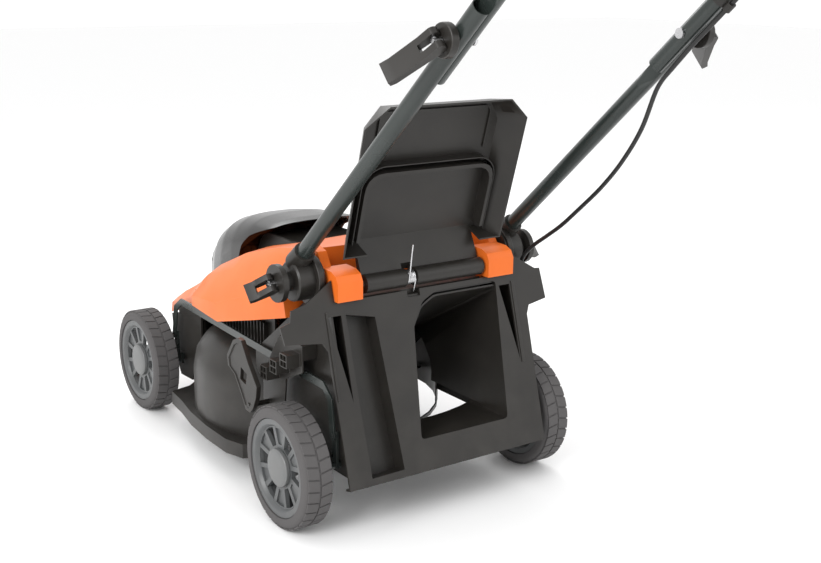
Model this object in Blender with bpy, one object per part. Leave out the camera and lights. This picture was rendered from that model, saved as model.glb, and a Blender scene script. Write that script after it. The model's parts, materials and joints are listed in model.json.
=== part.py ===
"""Cordless walk-behind rotary mower with its discharge flap standing open and no grass box fitted.

Metres, +Z up, +Y forward, +X to the operator's right, ground at Z = 0. Every shape is drawn in the rear
axle's frame (Y = 0 on the rear axle), and the empty "mower" moves it all so that the world origin is
below the middle of the whole machine. Each moving body has an empty on its joint's axis.
"""

from math import cos, pi, radians, sin

import bmesh
import bpy
from mathutils import Matrix, Vector

# ---- Driving dimensions -------------------------------------------------------------------------
GAP = 0.0003  # between pieces that seat on or turn in each other

WHEEL_RADIUS = 0.090
TYRE_WIDTH = 0.0458
RIM_RADIUS = 0.0725
HUB_CAP_RADIUS = 0.028
STUB_RADIUS = 0.005
WHEELBASE = 0.5685
REAR_TRACK_OUTER = 0.4783
FRONT_TRACK_OUTER = 0.4156

CRANK_REACH = 0.055  # from each height pivot forward to its wheel axle
CRANK_RISE = -0.010  # the wheel axle below its pivot
CRANK_PIN_RISE = 0.045  # the link bar's pin above the pivot
CRANK_PLATE = 0.004
REAR_CRANK_X = 0.184
FRONT_CRANK_X = 0.146
REAR_ARM_X = -0.174  # outer face of each carrier's link bar arm
FRONT_ARM_X = -0.1545
LINK_LEVEL = 0.212  # height of the link bar's straight run
LINK_BAR_WIDTH = 0.012
LINK_BAR_THICKNESS = 0.003

DECK_RADIUS = 0.207
DECK_WALL = 0.003
DECK_TOP = 0.205
DECK_EDGE = 0.062
BLADE_Y = 0.284
BLADE_LENGTH = 0.400
BLADE_HEIGHT = 0.078
SKIRT_BOTTOM = 0.040
SKIRT_X = 0.216
CHEEK_X = 0.165  # outer face of the deck's rear box
CHEEK_BOTTOM = 0.085

PANEL_FOOT = Vector((0, -0.1033, 0.0772))  # rear face of the panel, bottom middle
PANEL_LEAN = radians(15.74)
PANEL_THICKNESS = 0.003
PANEL_HALF_WIDTH = 0.178
PANEL_TOP = 0.262  # up the panel, between the hinge caps
PANEL_POCKET_DEPTH = 0.028

HINGE = Vector((0, -0.0215, 0.346))  # the flap's axis
FLAP_LEAN = radians(16.3)
FLAP_SWING = radians(148)
FLAP_HALF_WIDTH = 0.140
FLAP_LENGTH = 0.264
FLAP_DEPTH = 0.036
FLAP_WALL = 0.0025
FLAP_RIM_SET_BACK = 0.0076
BARREL_RADIUS = 0.0135
ROD_RADIUS = 0.003
ROD_HALF = 0.140
CAP_X = (-0.157, -0.116, 0.108, 0.1555)  # ends of the two hinge caps, left to right

HANDLE_PIVOT = Vector((0, 0.018, 0.355))
HANDLE_SLOPE = radians(42)
TUBE_RADIUS = 0.0113
TUBE_WALL = 0.0012
TUBE_X = 0.186
TUBE_FOOT = Vector((0, 0.022, 0.379))
LOWER_TUBE_REACH = 0.485  # from the tube's foot to the upper clamp bolt
LOWER_TUBE_OVERRUN = 0.055
UPPER_TUBE_OVERRUN = 0.066
PRESS_X = 0.1815  # the plane where the two pressed tubes meet
UPPER_TUBE_X = 0.1775
UPPER_REACH = 0.470  # from the upper clamp bolt to the grip's middle
GRIP_RADIUS = 0.0160
HANDLE_CORNER = 0.070

COVER_WALL = 0.0025
BOSS_RADIUS = 0.037
DISC_RADIUS = 0.027  # the pivot's outer disc
SEAT_RADIUS = 0.020  # the clamp seats at the fold
CAM_RADIUS = 0.0078
MOTOR_RISE = 0.056
BOLT_RADIUS = 0.003

HOOD_HALF_WIDTH = 0.095
HOOD_WALL = 0.003

REAR_PIVOT = Vector((0, -CRANK_REACH, WHEEL_RADIUS - CRANK_RISE))
FRONT_PIVOT = REAR_PIVOT + Vector((0, WHEELBASE, 0))
TUBE_UP = Vector((0, -cos(HANDLE_SLOPE), sin(HANDLE_SLOPE)))
TUBE_NORMAL = Vector((0, sin(HANDLE_SLOPE), cos(HANDLE_SLOPE)))
CLAMP_BOLT = TUBE_FOOT + TUBE_UP * LOWER_TUBE_REACH
GRIP_MIDDLE = CLAMP_BOLT + TUBE_UP * UPPER_REACH
SWITCH_BELOW, SWITCH_ABOVE = 0.024, 0.022  # the switch box under and over the grip's line
SWITCH_PAST, SWITCH_SHORT = 0.020, 0.062  # and past and short of it, along the tube
REAR_REACH = -(GRIP_MIDDLE + TUBE_UP * SWITCH_PAST - TUBE_NORMAL * SWITCH_BELOW).y
FRONT_REACH = WHEELBASE + WHEEL_RADIUS
CENTRE_SHIFT = (REAR_REACH - FRONT_REACH) / 2
TRAY_FLOOR = DECK_TOP + MOTOR_RISE + 2 * GAP

# ---- Materials: colour, roughness, metallic -----------------------------------------------------
LOOKS = {
    "orange_plastic": ((0.90, 0.24, 0.05), 0.38, 0.0),
    "black_plastic": ((0.045, 0.042, 0.038), 0.50, 0.0),
    "gloss_black": ((0.030, 0.029, 0.028), 0.15, 0.0),
    "tyre_rubber": ((0.075, 0.072, 0.070), 0.85, 0.0),
    "rim_grey": ((0.150, 0.155, 0.160), 0.55, 0.0),
    "cap_grey": ((0.260, 0.265, 0.275), 0.50, 0.0),
    "tube_paint": ((0.060, 0.070, 0.066), 0.35, 0.2),
    "zinc_steel": ((0.650, 0.660, 0.680), 0.25, 1.0),
    "dark_steel": ((0.220, 0.220, 0.230), 0.40, 1.0),
    "cable_black": ((0.020, 0.020, 0.020), 0.55, 0.0),
}


def clear_scene():
    """Removes whatever the scene starts with."""
    for obj in list(bpy.data.objects):
        bpy.data.objects.remove(obj, do_unlink=True)


def material(name):
    """The named material, made on first use."""
    found = bpy.data.materials.get(name)
    if found:
        return found
    color, roughness, metallic = LOOKS[name]
    made = bpy.data.materials.new(name)
    made.use_nodes = True
    shader = made.node_tree.nodes["Principled BSDF"]
    shader.inputs["Base Color"].default_value = (*color, 1.0)
    shader.inputs["Roughness"].default_value = roughness
    shader.inputs["Metallic"].default_value = metallic
    return made


# ---- Shapes: each returns (points, faces) --------------------------------------------------------
def loft(rings, closed=False):
    """Skins equal rings of points; capped at both ends unless the rings close on themselves."""
    count = len(rings[0])
    points = [Vector(p) for ring in rings for p in ring]
    faces = []
    spans = len(rings) if closed else len(rings) - 1
    for i in range(spans):
        a, b = i * count, ((i + 1) % len(rings)) * count
        for j in range(count):
            k = (j + 1) % count
            faces.append((a + j, a + k, b + k, b + j))
    if not closed:
        faces.append(tuple(reversed(range(count))))
        faces.append(tuple((len(rings) - 1) * count + j for j in range(count)))
    return points, faces


def prism(outline, low, high):
    """Extrudes an (x, y) outline from z = low to z = high."""
    return loft([[(x, y, low) for x, y in outline], [(x, y, high) for x, y in outline]])


def box(low, high):
    """A box between two corners."""
    (x0, y0, z0), (x1, y1, z1) = low, high
    return prism([(x0, y0), (x1, y0), (x1, y1), (x0, y1)], z0, z1)


def circle(radius, sides, centre=(0, 0), start=0.0, sweep=2 * pi):
    """Points round a circle, or along an arc when sweep is less than a full turn."""
    full = abs(sweep) >= 2 * pi - 1e-6
    steps = sides if full else sides + 1
    turn = [start + sweep * i / sides for i in range(steps)]
    return [(centre[0] + radius * cos(t), centre[1] + radius * sin(t)) for t in turn]


def stack(profile, sides):
    """A solid of revolution about Z from (radius, height) steps, with flat ends."""
    return loft([[(x, y, h) for x, y in circle(r, sides)] for r, h in profile])


def ring(profile, sides, flats=False):
    """A hollow solid of revolution about Z from a closed (radius, height) outline.

    With flats, the facets' middles lie on the stated radii, one of them facing along each axis.
    """
    turn = [2 * pi * (i + (0.5 if flats else 0)) / sides for i in range(sides)]
    grow = 1 / cos(pi / sides) if flats else 1
    return loft([[(r * grow * cos(t), r * grow * sin(t), h) for r, h in profile] for t in turn], closed=True)


def rounded(points, radius, steps=4):
    """Rounds the corners of a closed (x, y) outline."""
    out = []
    for i, here in enumerate(points):
        here, back, on = Vector(here), Vector(points[i - 1]), Vector(points[(i + 1) % len(points)])
        a, b = (back - here).normalized(), (on - here).normalized()
        reach = min(radius, (back - here).length * 0.49, (on - here).length * 0.49)
        start, end = here + a * reach, here + b * reach
        for k in range(steps + 1):
            t = k / steps
            p = start * (1 - t) ** 2 + here * 2 * t * (1 - t) + end * t**2
            out.append((p.x, p.y))
    return out


def sweep(path, radius, sides, bore=0.0):
    """A round bar, or a tube when bore is set, along a path of points."""
    path = [Vector(p) for p in path]
    ahead = [(path[min(i + 1, len(path) - 1)] - path[max(i - 1, 0)]).normalized() for i in range(len(path))]
    side = ahead[0].orthogonal().normalized()
    rings, inner = [], []
    for here, way in zip(path, ahead):
        side = (side - way * side.dot(way)).normalized()
        over = way.cross(side)
        turn = [2 * pi * i / sides for i in range(sides)]
        rings.append([here + (side * cos(t) + over * sin(t)) * radius for t in turn])
        inner.append([here + (side * cos(t) + over * sin(t)) * bore for t in turn])
    if not bore:
        return loft(rings)
    return loft(rings + inner[::-1], closed=True)


def placed(solid, matrix):
    """The same solid, moved."""
    points, faces = solid
    return [matrix @ p for p in points], faces


def along_x(solid, x, y, z):
    """Turns a solid drawn about Z so that its axis runs along +X through (x, y, z)."""
    return placed(solid, Matrix.Translation((x, y, z)) @ Matrix.Rotation(pi / 2, 4, "Y"))


def mirrored(solid):
    """The same solid on the other side of the machine."""
    points, faces = solid
    return [Vector((-p.x, p.y, p.z)) for p in points], faces


# ---- Objects -------------------------------------------------------------------------------------
def pivot(name, place, parent=None):
    """An empty on a joint's axis, which carries the pieces that move about it."""
    empty = bpy.data.objects.new(name, None)
    empty.empty_display_size = 0.03
    bpy.context.collection.objects.link(empty)
    empty["place"] = tuple(place)
    empty.parent = parent
    start = Vector(parent["place"]) if parent else Vector()
    empty.location = Vector(place) - start
    return empty


def new_mesh(name, solid):
    """A mesh with its faces turned out."""
    points, faces = solid
    mesh = bpy.data.meshes.new(name)
    mesh.from_pydata(points, [], faces)
    work = bmesh.new()
    work.from_mesh(mesh)
    bmesh.ops.remove_doubles(work, verts=work.verts, dist=1e-6)
    bmesh.ops.recalc_face_normals(work, faces=work.faces)
    work.to_mesh(mesh)
    work.free()
    mesh.shade_smooth()
    mesh.set_sharp_from_angle(angle=radians(32))
    return mesh


def part(name, body, look, solid):
    """One named piece, drawn in the mower's frame and carried by its body's empty."""
    start = Vector(body["place"])
    obj = bpy.data.objects.new(name, new_mesh(name, placed(solid, Matrix.Translation(-start))))
    obj.data.materials.append(material(look))
    bpy.context.collection.objects.link(obj)
    obj.parent = body
    return obj


def helper(obj, solid, operation):
    """Adds or removes a solid with a Boolean modifier that holds a hidden helper object."""
    start = Vector(obj.parent["place"])
    name = f"{obj.name}_{operation.lower()}_{len(obj.modifiers)}"
    other = bpy.data.objects.new(name, new_mesh(name, placed(solid, Matrix.Translation(-start))))
    bpy.context.collection.objects.link(other)
    other.parent = obj.parent
    other.hide_render = True
    other.display_type = "WIRE"
    modifier = obj.modifiers.new(name, "BOOLEAN")
    modifier.operation = operation
    modifier.object = other
    return other


def add(obj, *solids):
    """Joins solids onto a piece."""
    for solid in solids:
        helper(obj, solid, "UNION")


def cut(obj, *solids):
    """Cuts solids out of a piece."""
    for solid in solids:
        helper(obj, solid, "DIFFERENCE")


# ---- Frames --------------------------------------------------------------------------------------
PANEL_FRAME = Matrix.Translation(PANEL_FOOT) @ Matrix.Rotation(pi / 2 - PANEL_LEAN, 4, "X")
FLAP_FRAME = Matrix.Translation(HINGE) @ Matrix.Rotation(pi / 2 + FLAP_LEAN, 4, "X")
TUBE_FRAME = Matrix((
    (1, 0, 0, 0),
    (0, TUBE_NORMAL.y, TUBE_UP.y, 0),
    (0, TUBE_NORMAL.z, TUBE_UP.z, 0),
    (0, 0, 0, 1),
))  # X stays, Y is the tube's upper side, Z runs up the tube


# ---- Deck ----------------------------------------------------------------------------------------
DOME_SHOULDER = 0.090
DOME_RISE = 0.070
DOME_SIDES = 32
CHUTE_LEFT, CHUTE_RIGHT = -0.048, 0.126  # the discharge opening across the panel
CHUTE_LOW, CHUTE_HIGH = 0.0465, 0.2545  # the same, up the panel
DUCT_HIGH = 0.2460  # the duct's own top, below the deck box's roof
CHUTE_WALL = 0.0025
CHUTE_CLEARANCE = 0.0010
FLOOR_REACH = 0.300  # the chute's floor ends on this radius from the blade's axis


def dome(radius, foot, top):
    """The volute: a straight wall with an elliptical shoulder and a flat top."""
    steps = [(radius, foot)]
    for i in range(6):
        t = pi / 2 * i / 5
        steps.append((radius - DOME_SHOULDER * (1 - cos(t)), top - DOME_RISE * (1 - sin(t))))
    return placed(stack(steps, DOME_SIDES), Matrix.Translation((0, BLADE_Y, 0)))


def panel_y(z, ahead):
    """Y of a plane parallel to the rear panel's rear face, measured ahead of it."""
    return PANEL_FOOT.y + (z - PANEL_FOOT.z) * sin(PANEL_LEAN) / cos(PANEL_LEAN) + ahead / cos(PANEL_LEAN)


def side_prism(outline, half_width):
    """A (y, z) outline extruded across the machine."""
    ring_at = [[(x, y, z) for y, z in outline] for x in (-half_width, half_width)]
    return loft(ring_at)


def block(x0, x1, outline):
    """A (y, z) outline extruded from x0 to x1."""
    return loft([[(x, y, z) for y, z in outline] for x in (x0, x1)])


def deck_shell(body):
    """The blade housing with its skirt, the box behind it and the towers for the handle bosses."""
    deck = part("deck_shell", body, "black_plastic", dome(DECK_RADIUS, DECK_EDGE, DECK_TOP))
    ahead = PANEL_THICKNESS + 0.0006
    crown = [(0.030, 0.322), (0.100, 0.270), (0.190, 0.205)]
    low, high = CHEEK_BOTTOM, 0.322
    outer = [(panel_y(low, ahead), low), (panel_y(high, ahead), high), *crown, (0.190, low)]
    add(deck, side_prism(outer, CHEEK_X))
    skirt = [(-0.150, 0.140), (-0.205, 0.165), (-SKIRT_X, 0.200), (-SKIRT_X, 0.270), (-0.210, 0.340),
             (-0.199, 0.400), (-0.193, 0.452), (-0.155, 0.462), (-0.110, 0.502), (0.110, 0.502),
             (0.155, 0.462), (0.170, 0.420), (0.060, 0.330), (-0.060, 0.220)]
    add(deck, prism(skirt, SKIRT_BOTTOM, DECK_EDGE + 0.001))
    shrink = 1 - DECK_WALL / SKIRT_X
    inside = [(x * shrink, BLADE_Y + (y - BLADE_Y) * shrink) for x, y in skirt]
    cut(deck, prism(inside, SKIRT_BOTTOM - 0.01, DECK_EDGE - DECK_WALL + 0.001))
    cut(deck, dome(DECK_RADIUS - DECK_WALL, SKIRT_BOTTOM - 0.01, DECK_TOP - DECK_WALL))
    for side in (-1, 1):
        tower = along_x(stack([(BOSS_RADIUS - 0.003, 0), (BOSS_RADIUS - 0.003, DECK_WALL)], 24),
                        side * CHEEK_X - (DECK_WALL if side > 0 else 0), HANDLE_PIVOT.y, HANDLE_PIVOT.z)
        web_x = sorted((side * CHEEK_X, side * (CHEEK_X - DECK_WALL)))
        web = box((web_x[0], HANDLE_PIVOT.y - 0.028, 0.290), (web_x[1], HANDLE_PIVOT.y + 0.012, 0.345))
        add(deck, tower, web)
    inner = [(panel_y(low, -0.02), low - 0.01), (panel_y(high, -0.02), high - DECK_WALL),
             (0.029, high - DECK_WALL), (0.0982, 0.2676), (0.187, 0.2035), (0.187, low - 0.01)]
    hollow = helper(deck, side_prism(inner, CHEEK_X - DECK_WALL), "DIFFERENCE")
    cut(hollow, dome(DECK_RADIUS - 2 * GAP, 0.02, DECK_TOP - 2 * GAP))
    window = box((-0.046, 0.050, DECK_EDGE + 0.006), (0.150, 0.205, DECK_TOP - 0.022))
    cut(deck, window)
    shaft = placed(stack([(0.012, 0.15), (0.012, 0.25)], 20), Matrix.Translation((0, BLADE_Y, 0)))
    cut(deck, shaft)
    for side in (-1, 1):
        wall = [(0.4800, DECK_EDGE), (0.5300, 0.0900), (0.5300, 0.1250), (0.4445, 0.1850), (0.4445, DECK_EDGE)]
        x0, x1 = sorted((side * 0.128, side * (0.128 + DECK_WALL)))
        add(deck, block(x0, x1, wall))
    for place, radius in ((REAR_PIVOT, STUB_RADIUS), (FRONT_PIVOT, STUB_RADIUS), (HANDLE_PIVOT, BOLT_RADIUS)):
        bore = stack([(radius + GAP, -0.2), (radius + GAP, 0.2)], 16)
        cut(deck, along_x(bore, 0, place.y, place.z))
    return deck


def chute_outline(grow, high):
    """The discharge opening on the panel, grown outwards all round."""
    corners = [(CHUTE_LEFT - grow, CHUTE_LOW - grow), (CHUTE_RIGHT - 0.014 + grow, CHUTE_LOW - grow),
               (CHUTE_RIGHT + grow, high + grow), (0.014 - grow, high + grow),
               (-0.012 - grow, high - 0.012 + grow / 2), (-0.032 - grow, high - 0.042)]
    return rounded(corners, 0.006, 2)


def rear_panel(body):
    """The back plate with its ears, the discharge opening and the pocket beside it."""
    cap_left, cap_right = CAP_X[0] - 0.0015, CAP_X[3] + 0.0015
    outline = [(-0.177, 0.0), (0.177, 0.0), (PANEL_HALF_WIDTH, 0.196), (0.184, 0.209), (0.219, 0.2149),
               (0.215, 0.2626), (0.205, 0.2637), (0.178, 0.2808), (cap_right, 0.2930), (cap_right, PANEL_TOP),
               (cap_left, PANEL_TOP), (cap_left, 0.2930), (-0.2045, 0.2658), (-0.227, 0.2606),
               (-0.231, 0.2450), (-0.2475, 0.2408), (-0.244, 0.2159), (-0.186, 0.209), (-PANEL_HALF_WIDTH, 0.196)]
    plate = placed(prism(outline, -PANEL_THICKNESS, 0), PANEL_FRAME)
    panel = part("rear_panel", body, "black_plastic", plate)
    pocket = [(-0.143, 0.243), (-0.142, 0.115), (-0.139, 0.010), (-0.0840, 0.011), (-0.096, 0.233)]
    wall = 0.0025
    middle = (-0.118, 0.12)
    tub = [(x + (wall if x > middle[0] else -wall), y + (wall if y > middle[1] else -wall)) for x, y in pocket]
    depth = PANEL_POCKET_DEPTH
    add(panel, placed(prism(tub, -depth, -PANEL_THICKNESS / 2), PANEL_FRAME))
    cut(panel, placed(prism(pocket, wall - depth, 0.01), PANEL_FRAME))
    cut(panel, placed(prism(chute_outline(0, CHUTE_HIGH), -0.02, 0.01), PANEL_FRAME))
    flange = placed(box((-0.177, 0.0, -0.012), (0.177, 0.003, -PANEL_THICKNESS / 2)), PANEL_FRAME)
    add(panel, flange)
    cut(panel, placed(box((-0.036, PANEL_TOP - 0.010, -0.01), (-0.014, PANEL_TOP + 0.01, 0.01)), PANEL_FRAME))
    return panel


def discharge_chute(body):
    """The duct from the volute's rear window to the opening in the panel."""
    front = 0.205
    rings = []
    for grow in (CHUTE_WALL + CHUTE_CLEARANCE, CHUTE_CLEARANCE):
        at_panel = [PANEL_FRAME @ Vector((x, y, -PANEL_THICKNESS - GAP)) 
                    for x, y in chute_outline(grow, DUCT_HIGH)]
        ahead = []
        for p in at_panel:
            drop = (p.z - 0.12) / 0.21
            ahead.append(Vector((p.x * 1.0, front, 0.118 - grow + (0.070 + grow) * drop)))
        rings.append((at_panel, ahead))
    (outer_back, outer_front), (inner_back, inner_front) = rings
    duct = loft([outer_back, outer_front, inner_front, inner_back], closed=True)
    chute = part("discharge_chute", body, "black_plastic", duct)
    volute = dome(DECK_RADIUS + 0.0015, 0.0, DECK_TOP + 0.0015)
    cut(chute, volute)
    open_floor = placed(stack([(FLOOR_REACH, 0.05), (FLOOR_REACH, 0.1235)], 64), Matrix.Translation((0, BLADE_Y, 0)))
    cut(chute, open_floor)
    return chute


# ---- Orange cover --------------------------------------------------------------------------------
COVER_STATIONS = (  # y, bottom edge (x, z), belly (x, z), shoulder (x, z), crown z
    (0.0600, (0.184, 0.289), (0.188, 0.320), (0.140, 0.386), 0.384),
    (0.1600, (0.190, 0.262), (0.192, 0.300), (0.138, 0.368), 0.374),
    (0.2700, (0.191, 0.233), (0.192, 0.264), (0.136, 0.338), 0.350),
    (0.3700, (0.187, 0.236), (0.187, 0.252), (0.132, 0.298), 0.316),
    (0.4500, (0.148, 0.214), (0.147, 0.228), (0.120, 0.256), 0.281),
    (0.5300, (0.138, 0.186), (0.137, 0.200), (0.108, 0.222), 0.245),
    (0.5950, (0.125, 0.162), (0.123, 0.180), (0.095, 0.190), 0.206),
    (0.6300, (0.090, 0.152), (0.089, 0.158), (0.070, 0.164), 0.172),
)
BAY_HALF_WIDTH = 0.0860
BAY_BACK, BAY_FRONT = 0.175, 0.4300
BRIDGE_FLOOR = 0.3245
BRIDGE_HALF_WIDTH = 0.1572


def between(stations, y):
    """Reads a value or a pair from the stations at y, by straight lines."""
    for a, b in zip(stations, stations[1:]):
        if y <= b[0]:
            break
    t = min(max((y - a[0]) / (b[0] - a[0]), 0), 1)
    return [Vector(p).lerp(Vector(q), t) if isinstance(p, tuple) else p + (q - p) * t for p, q in zip(a[1:], b[1:])]


def cover_section(y, inset):
    """Half of the cover's outline at y, from the bottom edge to the crown, drawn in by inset."""
    edge, belly, shoulder, crown = between(COVER_STATIONS, y)
    half = [(edge.x - inset, edge.y), (belly.x - inset, belly.y)]
    flank = (belly * 0.35 + shoulder * 0.65) + Vector((0.006, 0.002))
    half.append((flank.x - inset, flank.y - inset * 0.6))
    half.append((shoulder.x - inset * 0.5, shoulder.y - inset))
    half.append((shoulder.x * 0.72, shoulder.y + (crown - shoulder.y) * 0.45 - inset))
    half.append((0.0, crown - inset))
    return half


def cover_ring(y, inset, foot):
    """A closed section of the cover's body at y; foot lowers its bottom edge for a cutter."""
    half = cover_section(y, inset)
    half[0] = (half[0][0], half[0][1] - foot)
    left = [(-x, z) for x, z in half]
    return [(x, y, z) for x, z in left + half[-2::-1]]


def top_cover(body):
    """The orange hood over the deck, with its bridge, side peaks and the two flap hinge caps."""
    spots = [s[0] for s in COVER_STATIONS]
    stations = sorted(spots + [(a + b) / 2 for a, b in zip(spots, spots[1:])])
    outside = loft([cover_ring(y, 0, 0) for y in stations])
    cover = part("top_cover", body, "orange_plastic", outside)
    inner_y = [stations[0] + COVER_WALL, *stations[1:-1], stations[-1] - COVER_WALL * 1.6]
    cut(cover, loft([cover_ring(y, COVER_WALL, 0.02) for y in inner_y]))
    cut(cover, box((-BAY_HALF_WIDTH, BAY_BACK, 0.20), (BAY_HALF_WIDTH, BAY_FRONT, 0.45)))
    wall = COVER_WALL
    back = stations[0]
    half = BRIDGE_HALF_WIDTH
    bridge = [(-0.018, BRIDGE_FLOOR), (back + wall, BRIDGE_FLOOR), (back + wall, 0.372), (back, 0.372),
              (back, BRIDGE_FLOOR + wall), (-0.018, BRIDGE_FLOOR + wall)]
    add(cover, side_prism(bridge, half))
    lip = BRIDGE_FLOOR + wall / 2
    peak = [(-0.010, lip), (back + wall / 2, lip), (back + wall / 2, 0.380), (0.030, 0.396), (0.015, 0.392),
            (-0.010, 0.352)]
    hollow = [(-0.007, BRIDGE_FLOOR - 0.01), (back, BRIDGE_FLOOR - 0.01), (back, 0.377), (0.030, 0.3925),
              (0.017, 0.389), (-0.007, 0.350)]
    cap = [(-0.018, 0.330), (-0.040, 0.330), (-0.040, 0.356), (-0.034, 0.366), (-0.022, 0.371), (0.004, 0.372),
           (0.004, lip), (-0.0175, lip)]
    for side, ends in ((-1, CAP_X[:2]), (1, CAP_X[2:])):
        x0, x1 = sorted((side * 0.142, side * (half - wall / 8)))
        add(cover, block(x0, x1, peak))
        cut(cover, block(x0 + wall, x1 - wall, hollow))
        add(cover, block(ends[0], ends[1], cap))
        rod_end = ROD_HALF
        inner_end = CAP_X[1] + 0.01 if side < 0 else CAP_X[2] - 0.01
        x0, x1 = sorted((side * (rod_end + GAP), inner_end))
        cut(cover, along_x(stack([(ROD_RADIUS + GAP, 0), (ROD_RADIUS + GAP, x1 - x0)], 12), x0, HINGE.y, HINGE.z))
    cut(cover, box((-CHEEK_X - 0.0015, back - 0.01, 0.27), (CHEEK_X + 0.0015, back + 0.0035, 0.3010)))
    cut(cover, box((-0.036, -0.03, BRIDGE_FLOOR - 0.01), (-0.014, 0.010, BRIDGE_FLOOR + 0.0035)))
    for modifier in cover.modifiers:
        modifier.solver = "MANIFOLD"
    return cover


def battery_tray(body):
    """The open tub under the bay that the packs stand in."""
    low, wall, clear = TRAY_FLOOR, 0.0025, 0.0008
    half = BAY_HALF_WIDTH - clear
    outline = [(BAY_BACK + clear, low), (BAY_BACK + clear, 0.340), (BAY_FRONT - clear, 0.270), (BAY_FRONT - clear, low)]
    tray = part("battery_tray", body, "black_plastic", side_prism(outline, half))
    inside = [(BAY_BACK + clear + wall, low + wall), (BAY_BACK + clear + wall, 0.42),
              (BAY_FRONT - clear - wall, 0.42), (BAY_FRONT - clear - wall, low + wall)]
    cut(tray, side_prism(inside, half - wall))
    return tray


def battery_packs():
    """Two packs side by side, each with a rounded front top."""
    low, top, clear = TRAY_FLOOR + 0.0025 + GAP, 0.352, 0.0015
    back, front = 0.215, 0.370
    arc = [(y, z) for y, z in circle(0.045, 5, (front - 0.045, top - 0.045), 0, pi / 2)]
    outline = [(back, low), (front, low), *arc, (back, top)]
    for side, name in ((-1, "left"), (1, "right")):
        body = pivot(f"battery_{name}_slide", (0, BAY_BACK, low), MOWER)
        x0, x1 = sorted((side * clear, side * (clear + 0.0620)))
        part(f"battery_pack_{name}", body, "black_plastic", block(x0, x1, outline))


def safety_key(body):
    """The pull-out key that stands in the tray behind the packs."""
    foot = TRAY_FLOOR + 0.0025 + GAP
    key = part("safety_key", body, "orange_plastic", box((-0.004, 0.186, foot), (0.004, 0.204, 0.335)))
    add(key, box((-0.013, 0.1845, 0.318), (0.013, 0.2055, 0.345)))
    return key


HOOD_STATIONS = (  # y, half width, top z
    (0.235, 0.0970, 0.3790), (0.290, 0.0975, 0.3815), (0.350, 0.0970, 0.3790), (0.410, 0.0940, 0.3700),
    (0.460, 0.0890, 0.3560), (0.505, 0.0800, 0.3340), (0.540, 0.0680, 0.3050), (0.560, 0.0520, 0.2760),
)
HOOD_NOSE_FROM = 0.535  # ahead of this the hood's edge clears the cover's crown


def cover_level(x, y):
    """Height of the cover's outer surface at (x, y)."""
    half = cover_section(y, 0)
    points = sorted(half)
    for (xa, za), (xb, zb) in zip(points, points[1:]):
        if xa <= abs(x) <= xb:
            return za + (zb - za) * (abs(x) - xa) / (xb - xa)
    return points[-1][1]


def hood_ring(y, half, top, inset, foot):
    """One arched section of the hood, standing on the cover."""
    width, crown = half - inset, top - inset
    spots = [half, half - HOOD_WALL, 0.0 if y > HOOD_NOSE_FROM else half]
    base = max(cover_level(x, y) for x in spots) + 0.0020 - foot
    arch = []
    for i in range(13):
        t = pi * i / 12
        c, s = cos(t), sin(t)
        arch.append((width * (abs(c) ** 0.62) * (1 if c >= 0 else -1), y, base + foot + (crown - base - foot) * s**0.7))
    return [(width, y, base), *arch[1:-1], (-width, y, base)]


def battery_hood(body):
    """The glossy visor over the packs, open at the back and hinged at its nose."""
    first, last = HOOD_STATIONS[0], HOOD_STATIONS[-1]
    spots = {s[0] for s in HOOD_STATIONS} | {s[0] for s in COVER_STATIONS if first[0] < s[0] < last[0]}
    stations = [(y, *between(HOOD_STATIONS, y)) for y in sorted(spots)]
    hood = part("battery_hood", body, "gloss_black", loft([hood_ring(*s, 0, 0) for s in stations]))
    inner = [(first[0] - 0.01, *first[1:]), *stations[1:-1]]
    inner.append((last[0] - HOOD_WALL * 2.2, last[1] + 0.008, last[2] + 0.008))
    cut(hood, loft([hood_ring(*s, HOOD_WALL, 0.02) for s in inner]))
    slant = [(0.20, 0.25), (0.385, 0.25), (0.365, 0.335), (0.300, 0.358), (0.255, 0.40), (0.20, 0.40)]
    cut(hood, side_prism(slant, 0.12))
    return hood


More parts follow.
